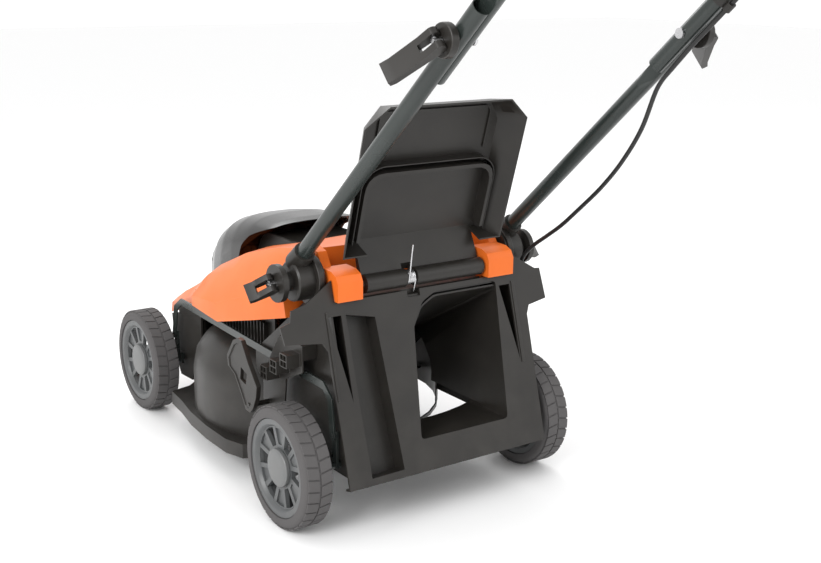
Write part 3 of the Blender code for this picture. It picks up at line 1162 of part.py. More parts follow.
LOWER = pivot("handle_fold", HANDLE_PIVOT, MOWER)
UPPER = pivot("upper_handle_fold", CLAMP_BOLT, LOWER)
upper_handle_tube(UPPER)
grip_sleeve(UPPER)
switch_box(UPPER)
cable_clip(UPPER)
bail_lever(pivot("bail_hinge", BAIL_AXIS, UPPER))
start_button(pivot("start_button_slide", GRIP_MIDDLE, UPPER))
PIVOT_LEAN, CLAMP_LEAN = radians(38), radians(58)
for side, hand in ((-1, "left"), (1, "right")):
    pivot_boss(MOWER, side, hand)
    pivot_socket(LOWER, side, hand)
    clamp_bolt(LOWER, side, f"pivot_bolt_{hand}", HANDLE_PIVOT, CHEEK_X - DECK_WALL - GAP, PIVOT_DISC_FACE)
    lower_tube(LOWER, side, hand)
    clamp_seat(LOWER, side, hand)
    clamp_bolt(LOWER, side, f"clamp_bolt_{hand}", CLAMP_BOLT, UPPER_TUBE_X - TUBE_RADIUS - GAP, SEAT_FACE)
    for place, face, lean, length, level in ((HANDLE_PIVOT, PIVOT_DISC_FACE, PIVOT_LEAN, 0.034, "lower"),
                                             (CLAMP_BOLT, SEAT_FACE, CLAMP_LEAN, 0.068, "upper")):
        hinge = pivot(f"{level}_cam_hinge_{hand}", place + Vector((side * cross_pin(face), 0, 0)), LOWER)
        cam_lever(hinge, side, f"{level}_cam_lever_{hand}", place, face, lean, length)
control_cables(LOWER, UPPER)
cable_gland(MOWER)
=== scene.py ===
"""The looks of a cordless rotary mower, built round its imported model.

Shapes are drawn in the rear axle's frame, in metres: +Z up, +Y forward, +X to the operator's right, with
Y = 0 on the rear axle. Each sub-assembly is a class that holds its sizes and makes its own pieces.
"""

from __future__ import annotations

import json
import logging
from collections.abc import Callable, Sequence
from dataclasses import dataclass, field
from enum import Enum
from math import cos, pi, radians, sin

import bmesh
import bpy
from mathutils import Matrix, Vector

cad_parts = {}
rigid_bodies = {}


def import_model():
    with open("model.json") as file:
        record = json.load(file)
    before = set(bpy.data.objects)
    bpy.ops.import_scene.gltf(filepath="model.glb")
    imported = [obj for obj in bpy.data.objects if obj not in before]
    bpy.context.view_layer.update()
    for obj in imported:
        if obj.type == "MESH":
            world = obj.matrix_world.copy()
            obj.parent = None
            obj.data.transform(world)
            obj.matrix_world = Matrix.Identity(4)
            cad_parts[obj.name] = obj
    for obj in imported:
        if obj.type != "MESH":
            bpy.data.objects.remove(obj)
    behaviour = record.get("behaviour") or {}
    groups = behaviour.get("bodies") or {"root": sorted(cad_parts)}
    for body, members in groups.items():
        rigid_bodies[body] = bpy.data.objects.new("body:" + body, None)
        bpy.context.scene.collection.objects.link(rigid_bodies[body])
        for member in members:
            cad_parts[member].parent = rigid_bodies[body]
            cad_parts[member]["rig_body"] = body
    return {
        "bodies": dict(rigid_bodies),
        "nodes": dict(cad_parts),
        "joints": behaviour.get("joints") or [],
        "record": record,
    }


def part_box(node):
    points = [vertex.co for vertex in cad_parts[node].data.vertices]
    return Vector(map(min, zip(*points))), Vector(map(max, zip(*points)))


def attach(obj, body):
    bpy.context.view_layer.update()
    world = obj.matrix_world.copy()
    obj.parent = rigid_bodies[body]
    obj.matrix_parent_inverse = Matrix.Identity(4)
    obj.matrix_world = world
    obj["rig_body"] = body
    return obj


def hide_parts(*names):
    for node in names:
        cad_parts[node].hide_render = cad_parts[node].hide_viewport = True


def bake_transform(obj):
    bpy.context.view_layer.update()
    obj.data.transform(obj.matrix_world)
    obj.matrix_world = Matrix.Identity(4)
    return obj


LOG = logging.getLogger("mower")
Color = tuple[float, float, float]
Pair = tuple[float, float]
Solid = tuple[list[Vector], list[tuple[int, ...]]]
MERGE = 2e-6  # points nearer than this are one
AXLE_FRAME = {"shift": 0.0}  # world Y of the rear axle, set in main


class Slot(Enum):
    """The record's material slots."""

    ORANGE = "orange_plastic"
    BLACK = "black_plastic"
    GLOSS = "gloss_black"
    TYRE = "tyre_rubber"
    RIM = "rim_grey"
    CAP = "cap_grey"
    TUBE = "tube_paint"
    ZINC = "zinc_steel"
    DARK = "dark_steel"
    CABLE = "cable_black"


# ---- Node trees ----------------------------------------------------------------------------------
class NodeTree:
    """A node group with named inputs, and short ways to add to it."""

    def __init__(self, name: str, kind: str) -> None:
        """Makes the empty group, of Blender's kind of tree."""
        self.tree = bpy.data.node_groups.new(name, kind)
        self.enter = self.tree.nodes.new("NodeGroupInput")
        self.leave = self.tree.nodes.new("NodeGroupOutput")

    def link(self, source: bpy.types.NodeSocket, target: bpy.types.NodeSocket) -> None:
        """Joins two sockets."""
        self.tree.links.new(source, target)

    def feed(self, socket: bpy.types.NodeSocket, value: object) -> None:
        """Links a socket's source to it, or sets its value."""
        if isinstance(value, bpy.types.NodeSocket):
            self.link(value, socket)
        else:
            socket.default_value = value

    def node(self, kind: str, sockets: dict[str, object] | None = None, **settings: object) -> bpy.types.Node:
        """Adds a node, sets its properties, then links or fills its inputs."""
        made = self.tree.nodes.new(kind)
        for key, value in settings.items():
            setattr(made, key, value)
        for key, value in (sockets or {}).items():
            self.feed(made.inputs[key], value)
        return made

    def math(self, operation: str, *values: object) -> bpy.types.NodeSocket:
        """The output of a Math node on numbers or sockets."""
        made = self.node("ShaderNodeMath", operation=operation)
        for socket, value in zip(made.inputs, values):
            self.feed(socket, value)
        return made.outputs[0]


class ShaderGroup(NodeTree):
    """A shader node group with named float inputs and outputs."""

    def __init__(self, name: str, inputs: dict[str, float], outputs: Sequence[str]) -> None:
        """Makes the empty group.

        Args:
            name: The group's name.
            inputs: Each input's name and first value.
            outputs: The names of the float outputs.
        """
        super().__init__(name, "ShaderNodeTree")
        sockets = self.tree.interface
        for key, value in inputs.items():
            sockets.new_socket(key, in_out="INPUT", socket_type="NodeSocketFloat").default_value = value
        for key in outputs:
            sockets.new_socket(key, in_out="OUTPUT", socket_type="NodeSocketFloat")

    def noise(self, scale: object, detail: float, stretch: Color = (1, 1, 1)) -> bpy.types.NodeSocket:
        """Noise on Object coordinates.

        Args:
            scale: A number or socket.
            detail: Levels of finer noise.
            stretch: Scale of the coordinates along each axis.

        Returns:
            The noise's value, from 0 to 1.
        """
        where = self.node("ShaderNodeTexCoord")
        mapping = self.node("ShaderNodeMapping", {"Vector": where.outputs["Object"], "Scale": stretch})
        made = self.node("ShaderNodeTexNoise",
                         {"Vector": mapping.outputs[0], "Detail": detail, "Scale": scale})
        return made.outputs["Fac"]

    def ramp(self, value: bpy.types.NodeSocket, low: float, high: float) -> bpy.types.NodeSocket:
        """Maps low..high onto 0..1, clamped."""
        made = self.node("ShaderNodeMapRange", {"Value": value, "From Min": low, "From Max": high})
        return made.outputs["Result"]


def surface_grain() -> bpy.types.ShaderNodeTree:
    """Fine moulded or painted texture: its height and how it shifts roughness and tone."""
    group = ShaderGroup("surface_grain", {"Scale": 900.0, "Patchiness": 12.0}, ("Height", "Rough", "Tone"))
    fine = group.noise(group.enter.outputs["Scale"], 2.0)
    cells = group.node("ShaderNodeTexVoronoi", feature="SMOOTH_F1")
    where = group.node("ShaderNodeTexCoord")
    group.link(where.outputs["Object"], cells.inputs["Vector"])
    group.link(group.enter.outputs["Scale"], cells.inputs["Scale"])
    height = group.math("MULTIPLY_ADD", cells.outputs["Distance"], 0.6, group.math("MULTIPLY", fine, 0.4))
    broad = group.noise(group.enter.outputs["Patchiness"], 4.0)
    group.link(height, group.leave.inputs["Height"])
    group.link(group.math("SUBTRACT", broad, 0.5), group.leave.inputs["Rough"])
    group.link(group.ramp(broad, 0.30, 0.72), group.leave.inputs["Tone"])
    return group.tree


def edge_wear() -> bpy.types.ShaderNodeTree:
    """Where a piece's rounded edges are rubbed, from the mesh's own edge attribute."""
    group = ShaderGroup("edge_wear", {"Amount": 0.5}, ("Mask",))
    edge = group.node("ShaderNodeAttribute", attribute_name="edge")
    breakup = group.ramp(group.noise(55.0, 5.0), 0.35, 0.75)
    mask = group.math("MULTIPLY", edge.outputs["Fac"], breakup)
    group.link(group.math("MULTIPLY", mask, group.enter.outputs["Amount"]), group.leave.inputs["Mask"])
    return group.tree


def settled_dust() -> bpy.types.ShaderNodeTree:
    """A thin film of dust, heavier near the ground."""
    group = ShaderGroup("settled_dust", {"Amount": 0.2, "Level": 0.3}, ("Mask",))
    where = group.node("ShaderNodeTexCoord")
    split = group.node("ShaderNodeSeparateXYZ")
    group.link(where.outputs["Object"], split.inputs[0])
    low = group.math("SUBTRACT", 1.0, group.math("DIVIDE", split.outputs["Z"], group.enter.outputs["Level"]))
    low = group.math("MAXIMUM", low, 0.15)
    cloud = group.ramp(group.noise(26.0, 6.0), 0.42, 0.80)
    mask = group.math("MULTIPLY", group.math("MULTIPLY", cloud, low), group.enter.outputs["Amount"])
    group.link(mask, group.leave.inputs["Mask"])
    return group.tree


def drawn_lines() -> bpy.types.ShaderNodeTree:
    """Long fine scratches along X, as on drawn or ground steel."""
    group = ShaderGroup("drawn_lines", {"Scale": 300.0}, ("Height", "Rough"))
    lines = group.noise(group.enter.outputs["Scale"], 2.0, (0.06, 1.0, 1.0))
    group.link(lines, group.leave.inputs["Height"])
    group.link(group.math("SUBTRACT", lines, 0.5), group.leave.inputs["Rough"])
    return group.tree


GROUP_MAKERS: dict[str, Callable[[], bpy.types.ShaderNodeTree]] = {
    "surface_grain": surface_grain,
    "edge_wear": edge_wear,
    "settled_dust": settled_dust,
    "drawn_lines": drawn_lines,
}


@dataclass(frozen=True)
class Finish:
    """One surface finish, made as a material on first use.

    Colours are linear. Grain is in cells per metre, bump in metres of height, and wear and dust are shares.
    """

    name: str
    color: Color
    roughness: float
    second: Color | None = None
    metallic: float = 0.0
    coat: float = 0.0
    grain: float = 900.0
    bump: float = 0.0001
    rough_spread: float = 0.12
    wear: float = 0.25
    worn: Color = (0.20, 0.19, 0.18)
    dust: float = 0.12
    drawn: bool = False
    specular: float = 0.5

    def material(self) -> bpy.types.Material:
        """The finish as a Blender material."""
        found = bpy.data.materials.get(self.name)
        if found:
            return found
        made = bpy.data.materials.new(self.name)
        made.use_nodes = True
        tree = made.node_tree
        shader = tree.nodes["Principled BSDF"]
        shader.inputs["Metallic"].default_value = self.metallic
        shader.inputs["Coat Weight"].default_value = self.coat
        shader.inputs["Coat Roughness"].default_value = 0.08
        shader.inputs["Specular IOR Level"].default_value = self.specular

        def group(name: str, **values: float) -> bpy.types.Node:
            node = tree.nodes.new("ShaderNodeGroup")
            node.node_tree = bpy.data.node_groups.get(name) or GROUP_MAKERS[name]()
            for key, value in values.items():
                node.inputs[key].default_value = value
            return node

        def mixed(share: bpy.types.NodeSocket, first: object, second: Color) -> bpy.types.NodeSocket:
            node = tree.nodes.new("ShaderNodeMix")
            node.data_type = "RGBA"
            tree.links.new(share, node.inputs["Factor"])
            if isinstance(first, bpy.types.NodeSocket):
                tree.links.new(first, node.inputs["A"])
            else:
                node.inputs["A"].default_value = (*first, 1.0)
            node.inputs["B"].default_value = (*second, 1.0)
            return node.outputs["Result"]

        grain = group("surface_grain", Scale=self.grain)
        second = self.second or tuple(c * 0.86 for c in self.color)
        color = mixed(grain.outputs["Tone"], self.color, second)
        color = mixed(group("edge_wear", Amount=self.wear).outputs["Mask"], color, self.worn)
        color = mixed(group("settled_dust", Amount=self.dust).outputs["Mask"], color, (0.30, 0.28, 0.25))
        tree.links.new(color, shader.inputs["Base Color"])
        relief = group("drawn_lines") if self.drawn else grain
        spread = tree.nodes.new("ShaderNodeMath")
        spread.operation = "MULTIPLY_ADD"
        tree.links.new(relief.outputs["Rough"], spread.inputs[0])
        spread.inputs[1].default_value = self.rough_spread
        spread.inputs[2].default_value = self.roughness
        tree.links.new(spread.outputs[0], shader.inputs["Roughness"])
        bump = tree.nodes.new("ShaderNodeBump")
        bump.inputs["Distance"].default_value = self.bump
        bump.inputs["Strength"].default_value = 0.6
        tree.links.new(relief.outputs["Height"], bump.inputs["Height"])
        tree.links.new(bump.outputs[0], shader.inputs["Normal"])
        return made


ORANGE = Finish("orange_moulding", (0.73, 0.148, 0.018), 0.38, second=(0.68, 0.130, 0.014), grain=1400,
                bump=0.00004, wear=0.3, worn=(0.85, 0.34, 0.14), dust=0.02, specular=0.30)
BLACK = Finish("black_moulding", (0.019, 0.017, 0.0145), 0.40, second=(0.014, 0.0125, 0.011), bump=0.00010,
               wear=0.40, worn=(0.10, 0.095, 0.09), dust=0.06, specular=0.38)
GLOSS = Finish("gloss_moulding", (0.010, 0.0095, 0.009), 0.20, grain=300, bump=0.00001, dust=0.02,
               specular=0.30)
RUBBER = Finish("tyre_rubber", (0.052, 0.050, 0.045), 0.66, second=(0.030, 0.028, 0.026), grain=1100,
                bump=0.00016, wear=0.5, worn=(0.11, 0.105, 0.095), dust=0.30, specular=0.40)
RIM = Finish("rim_moulding", (0.085, 0.089, 0.091), 0.40, grain=1300, bump=0.00005, worn=(0.30, 0.30, 0.30))
CAP = Finish("cap_moulding", (0.130, 0.133, 0.133), 0.40, grain=1300, bump=0.00005, worn=(0.34, 0.34, 0.34))
PAINT = Finish("tube_powder_coat", (0.022, 0.028, 0.026), 0.28, second=(0.016, 0.021, 0.019), metallic=0.15,
               grain=2200, bump=0.00006, coat=0.10, wear=0.4, worn=(0.30, 0.30, 0.30), dust=0.02)
ZINC = Finish("zinc_plate", (0.62, 0.62, 0.63), 0.26, metallic=1.0, bump=0.00002, worn=(0.8, 0.8, 0.8),
              drawn=True, dust=0.04)
DARK = Finish("blackened_steel", (0.16, 0.16, 0.165), 0.38, metallic=1.0, bump=0.00003, worn=(0.5, 0.5, 0.5),
              drawn=True)
CABLE = Finish("cable_jacket", (0.008, 0.008, 0.008), 0.45, grain=2500, bump=0.00002, dust=0.02)

FINISHES: dict[Slot, Finish] = {
    Slot.ORANGE: ORANGE, Slot.BLACK: BLACK, Slot.GLOSS: GLOSS, Slot.TYRE: RUBBER, Slot.RIM: RIM,
    Slot.CAP: CAP, Slot.TUBE: PAINT, Slot.ZINC: ZINC, Slot.DARK: DARK, Slot.CABLE: CABLE,
}


# ---- Solids: each returns (points, faces) -----------------------------------------------------------
def loft(rings: Sequence[Sequence[Vector]], closed: bool = False) -> Solid:
    """Skins equal rings of points, capped at both ends unless they close on themselves."""
    count = len(rings[0])
    points = [Vector(p) for ring_at in rings for p in ring_at]
    faces: list[tuple[int, ...]] = []
    for i in range(len(rings) if closed else len(rings) - 1):
        a, b = i * count, ((i + 1) % len(rings)) * count
        faces += [(a + j, a + (j + 1) % count, b + (j + 1) % count, b + j) for j in range(count)]
    if not closed:
        faces.append(tuple(reversed(range(count))))
        faces.append(tuple((len(rings) - 1) * count + j for j in range(count)))
    return points, faces


def circle(radius: float, sides: int) -> list[Pair]:
    """Points round a circle."""
    turns = [2 * pi * i / sides for i in range(sides)]
    return [(radius * cos(t), radius * sin(t)) for t in turns]


def eased(share: float) -> float:
    """A share from 0 to 1, clamped, that starts and ends gently."""
    share = min(max(share, 0), 1)
    return share * share * (3 - 2 * share)


def stack(profile: Sequence[Pair], sides: int = 48) -> Solid:
    """A solid of revolution about Z from (radius, height) steps, with flat ends."""
    return loft([[Vector((x, y, h)) for x, y in circle(r, sides)] for r, h in profile])


def ring(profile: Sequence[Pair], sides: int = 96) -> Solid:
    """A hollow solid of revolution about Z from a closed (radius, height) outline."""
    turns = [2 * pi * i / sides for i in range(sides)]
    return loft([[Vector((r * cos(t), r * sin(t), h)) for r, h in profile] for t in turns], closed=True)


def prism(outline: Sequence[Pair], low: float, high: float) -> Solid:
    """Extrudes an (x, y) outline between two heights."""
    return loft([[Vector((x, y, z)) for x, y in outline] for z in (low, high)])


def plate(outline: Sequence[Pair], x0: float, x1: float) -> Solid:
    """Extrudes a (y, z) outline between two places along X."""
    return loft([[Vector((x, y, z)) for y, z in outline] for x in (x0, x1)])


def slab(low: Sequence[float], high: Sequence[float]) -> Solid:
    """A box between two corners, to be rounded with a bevel."""
    (x0, y0, z0), (x1, y1, z1) = low, high
    return prism([(x0, y0), (x1, y0), (x1, y1), (x0, y1)], z0, z1)


def sweep(path: Sequence[Vector], radius: float, sides: int = 32, bore: float = 0.0) -> Solid:
    """A round bar, or a tube when bore is set, along a path of points."""
    ahead = [(path[min(i + 1, len(path) - 1)] - path[max(i - 1, 0)]).normalized() for i in range(len(path))]
    side = ahead[0].orthogonal().normalized()
    rings, inner = [], []
    for here, way in zip(path, ahead):
        side = (side - way * side.dot(way)).normalized()
        over = way.cross(side)
        rings.append([here + (side * x + over * y) for x, y in circle(radius, sides)])
        inner.append([here + (side * x + over * y) for x, y in circle(bore, sides)])
    return loft(rings + inner[::-1], closed=True) if bore else loft(rings)


def placed(solid: Solid, matrix: Matrix) -> Solid:
    """The same solid, moved."""
    return [matrix @ p for p in solid[0]], solid[1]


def along_x(solid: Solid, x: float, y: float, z: float) -> Solid:
    """Turns a solid drawn about Z so that its axis runs along +X through (x, y, z)."""
    return placed(solid, Matrix.Translation((x, y, z)) @ Matrix.Rotation(pi / 2, 4, "Y"))


def joined(*solids: Solid) -> Solid:
    """Several solids as one list of points and faces."""
    points: list[Vector] = []
    faces: list[tuple[int, ...]] = []
    for some_points, some_faces in solids:
        start = len(points)
        points += some_points
        faces += [tuple(start + i for i in face) for face in some_faces]
    return points, faces


def smooth_path(points: Sequence[Vector], spacing: float) -> list[Vector]:
    """Points at a steady spacing along a Catmull-Rom curve through the given points."""
    fine: list[Vector] = []
    for i in range(len(points) - 1):
        a, b, c, d = points[max(i - 1, 0)], points[i], points[i + 1], points[min(i + 2, len(points) - 1)]
        for k in range(24):
            t = k / 24
            fine.append(0.5 * (2 * b + (c - a) * t + (2 * a - 5 * b + 4 * c - d) * t**2
                               + (3 * b - a - 3 * c + d) * t**3))
    fine.append(points[-1])
    count = max(round(length_of(fine) / spacing), 2)
    out, run, goal = [fine[0]], 0.0, length_of(fine) / count
    for p, q in zip(fine, fine[1:]):
        step = (q - p).length
        while step > 0 and len(out) < count and run + step >= goal * len(out):
            out.append(p.lerp(q, (goal * len(out) - run) / step))
        run += step
    return [*out, fine[-1]]


def length_of(path: Sequence[Vector]) -> float:
    """Length along a line of points."""
    return sum((q - p).length for p, q in zip(path, path[1:]))


# ---- Pieces ------------------------------------------------------------------------------------------
def link_object(name: str, mesh: bpy.types.Mesh) -> bpy.types.Object:
    """Puts a mesh into the scene as an object at the origin."""
    obj = bpy.data.objects.new(name, mesh)
    bpy.context.scene.collection.objects.link(obj)
    return obj


def evaluated(obj: bpy.types.Object) -> bpy.types.Object:
    """Applies every modifier on a piece."""
    mesh = bpy.data.meshes.new_from_object(obj.evaluated_get(bpy.context.evaluated_depsgraph_get()))
    obj.modifiers.clear()
    obj.data = mesh
    return obj


def shade(obj: bpy.types.Object, angle: float = 38.0) -> bpy.types.Object:
    """Smooth shading with sharp corners past an angle, and flat faces kept flat."""
    obj.data.shade_smooth()
    obj.data.set_sharp_from_angle(angle=radians(angle))
    weighted = obj.modifiers.new("flat_faces", "WEIGHTED_NORMAL")
    weighted.keep_sharp = True
    return evaluated(obj)


def soften(mesh: bpy.types.Mesh, width: float, angle: float = 32.0) -> None:
    """Merges a mesh, turns it out and rounds its corners, and marks the rounded faces in the edge attribute.

    Args:
        mesh: The mesh to change.
        width: How far each round reaches from its corner.
        angle: The least turn between two faces that is a corner.
    """
    work = bmesh.new()
    work.from_mesh(mesh)
    bmesh.ops.remove_doubles(work, verts=work.verts, dist=MERGE)
    bmesh.ops.dissolve_limit(work, angle_limit=radians(0.6), verts=work.verts, edges=work.edges)
    bmesh.ops.dissolve_degenerate(work, edges=work.edges, dist=1e-5)
    bmesh.ops.recalc_face_normals(work, faces=work.faces)
    corners = [e for e in work.edges if len(e.link_faces) == 2 and e.calc_face_angle(0) > radians(angle)]
    layer = work.loops.layers.float.new("edge")
    if width and corners:
        made = bmesh.ops.bevel(work, geom=corners, offset=width, segments=2, profile=0.5, affect="EDGES",
                               clamp_overlap=True)
        for face in made["faces"]:
            for loop in face.loops:
                loop[layer] = 1.0
    work.to_mesh(mesh)
    work.free()


def blank(name: str, solid: Solid, round_by: float = 0.0, angle: float = 32.0,
          keep_frame: bool = False) -> bpy.types.Object:
    """An object from a solid, with rounded corners and no finish yet. The arguments are as for piece."""
    mesh = bpy.data.meshes.new(name)
    shift = Vector((0, 0 if keep_frame else AXLE_FRAME["shift"], 0))
    mesh.from_pydata([p + shift for p in solid[0]], [], solid[1])
    soften(mesh, round_by, angle=angle)
    return link_object(name, mesh)


def dress(obj: bpy.types.Object, body: str, slot: Slot, stands_for: Sequence[str] = ()) -> bpy.types.Object:
    """Gives a piece its finish, its body and the nodes it stands for."""
    obj.data.materials.clear()
    obj.data.materials.append(FINISHES[slot].material())
    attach(obj, body)
    if stands_for:
        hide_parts(*stands_for)
    return obj


def piece(name: str, solid: Solid, body: str, slot: Slot, stands_for: Sequence[str] = (),
          round_by: float = 0.0006, angle: float = 32.0, keep_frame: bool = False) -> bpy.types.Object:
    """Makes one finished piece from a solid in the axle's frame.

    Args:
        name: The piece's name.
        solid: Its points and faces.
        body: The body it moves with.
        slot: The record's material slot.
        stands_for: Nodes of the model that it replaces.
        round_by: Width of the rounds on its corners, 0 for none.
        angle: The least turn between two faces that is rounded.
        keep_frame: True if the solid is in the world's frame already.

    Returns:
        The finished object.
    """
    return dress(shade(blank(name, solid, round_by, angle, keep_frame)), body, slot, stands_for)


def refined(frame: dict, node: str, slot: Slot, round_by: float, cuts: Sequence[Solid] = ()) -> None:
    """Makes a copy of a node with rounded corners and its own finish, which stands for the node.

    Args:
        node: The node's name.
        slot: The record's material slot.
        round_by: Width of the rounds on its corners.
        cuts: Solids in the axle's frame to cut out of it first.
    """
    source = frame["nodes"][node]
    mesh = source.data.copy()
    mesh.materials.clear()
    obj = link_object(f"{node}_finished", mesh)
    if cuts:
        carve(obj, cuts)
    soften(obj.data, round_by)
    dress(shade(obj), source["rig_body"], slot, [node])


def carve(obj: bpy.types.Object, cuts: Sequence[Solid]) -> None:
    """Cuts solids in the axle's frame out of an object's mesh."""
    work = bmesh.new()
    work.from_mesh(obj.data)
    bmesh.ops.remove_doubles(work, verts=work.verts, dist=MERGE)
    work.to_mesh(obj.data)
    work.free()
    tools = [blank("cutter", solid) for solid in cuts]
    for tool in tools:
        tool.hide_render = True
        modifier = obj.modifiers.new("cut", "BOOLEAN")
        modifier.operation = "DIFFERENCE"
        modifier.object = tool
    evaluated(obj)
    for tool in tools:
        bpy.data.objects.remove(tool)


# ---- Geometry Nodes -----------------------------------------------------------------------------------
class GeometryTree(NodeTree):
    """A Geometry Nodes tree with named inputs, run once on an empty mesh."""

    def __init__(self, name: str, inputs: dict[str, float | int]) -> None:
        """Makes the empty tree.

        Args:
            name: The tree's name.
            inputs: Each input's name and value; whole numbers become integer inputs.
        """
        super().__init__(name, "GeometryNodeTree")
        sockets = self.tree.interface
        sockets.new_socket("Geometry", in_out="OUTPUT", socket_type="NodeSocketGeometry")
        self.values = {}
        for key, value in inputs.items():
            kind = "NodeSocketInt" if isinstance(value, int) else "NodeSocketFloat"
            socket = sockets.new_socket(key, in_out="INPUT", socket_type=kind)
            self.values[socket.identifier] = value

    def vector(self, *values: object) -> bpy.types.NodeSocket:
        """Three numbers or sockets as a vector."""
        made = self.node("ShaderNodeCombineXYZ")
        for socket, value in zip(made.inputs, values):
            self.feed(socket, value)
        return made.outputs[0]

    def copies(self, shape: bpy.types.Node, count: object, start: object,
               step: object) -> bpy.types.NodeSocket:
        """A row of instances of a shape.

        Args:
            shape: The node that makes the shape.
            count: How many.
            start: Where the first is.
            step: From each to the next.

        Returns:
            The instances.
        """
        line = self.node("GeometryNodeMeshLine", {"Count": count, "Offset": step, "Start Location": start})
        laid = {"Points": line.outputs[0], "Instance": shape.outputs[0]}
        return self.node("GeometryNodeInstanceOnPoints", laid).outputs[0]

    def mesh(self, geometry: bpy.types.NodeSocket, finish: Finish, matrix: Matrix) -> Solid:
        """Ends the tree, runs it and reads its mesh.

        Args:
            geometry: The geometry to put out.
            finish: The material that the tree sets.
            matrix: Where the mesh goes.

        Returns:
            The mesh's points, moved by the matrix, and its faces.
        """
        real = self.node("GeometryNodeRealizeInstances", {"Geometry": geometry})
        look = {"Geometry": real.outputs[0], "Material": finish.material()}
        self.link(self.node("GeometryNodeSetMaterial", look).outputs[0], self.leave.inputs[0])
        host = link_object(self.tree.name, bpy.data.meshes.new(self.tree.name))
        modifier = host.modifiers.new("tree", "NODES")
        modifier.node_group = self.tree
        for identifier, value in self.values.items():
            modifier[identifier] = value
        evaluated(host)
        solid = [matrix @ v.co for v in host.data.vertices], [tuple(p.vertices) for p in host.data.polygons]
        bpy.data.objects.remove(host)
        return solid


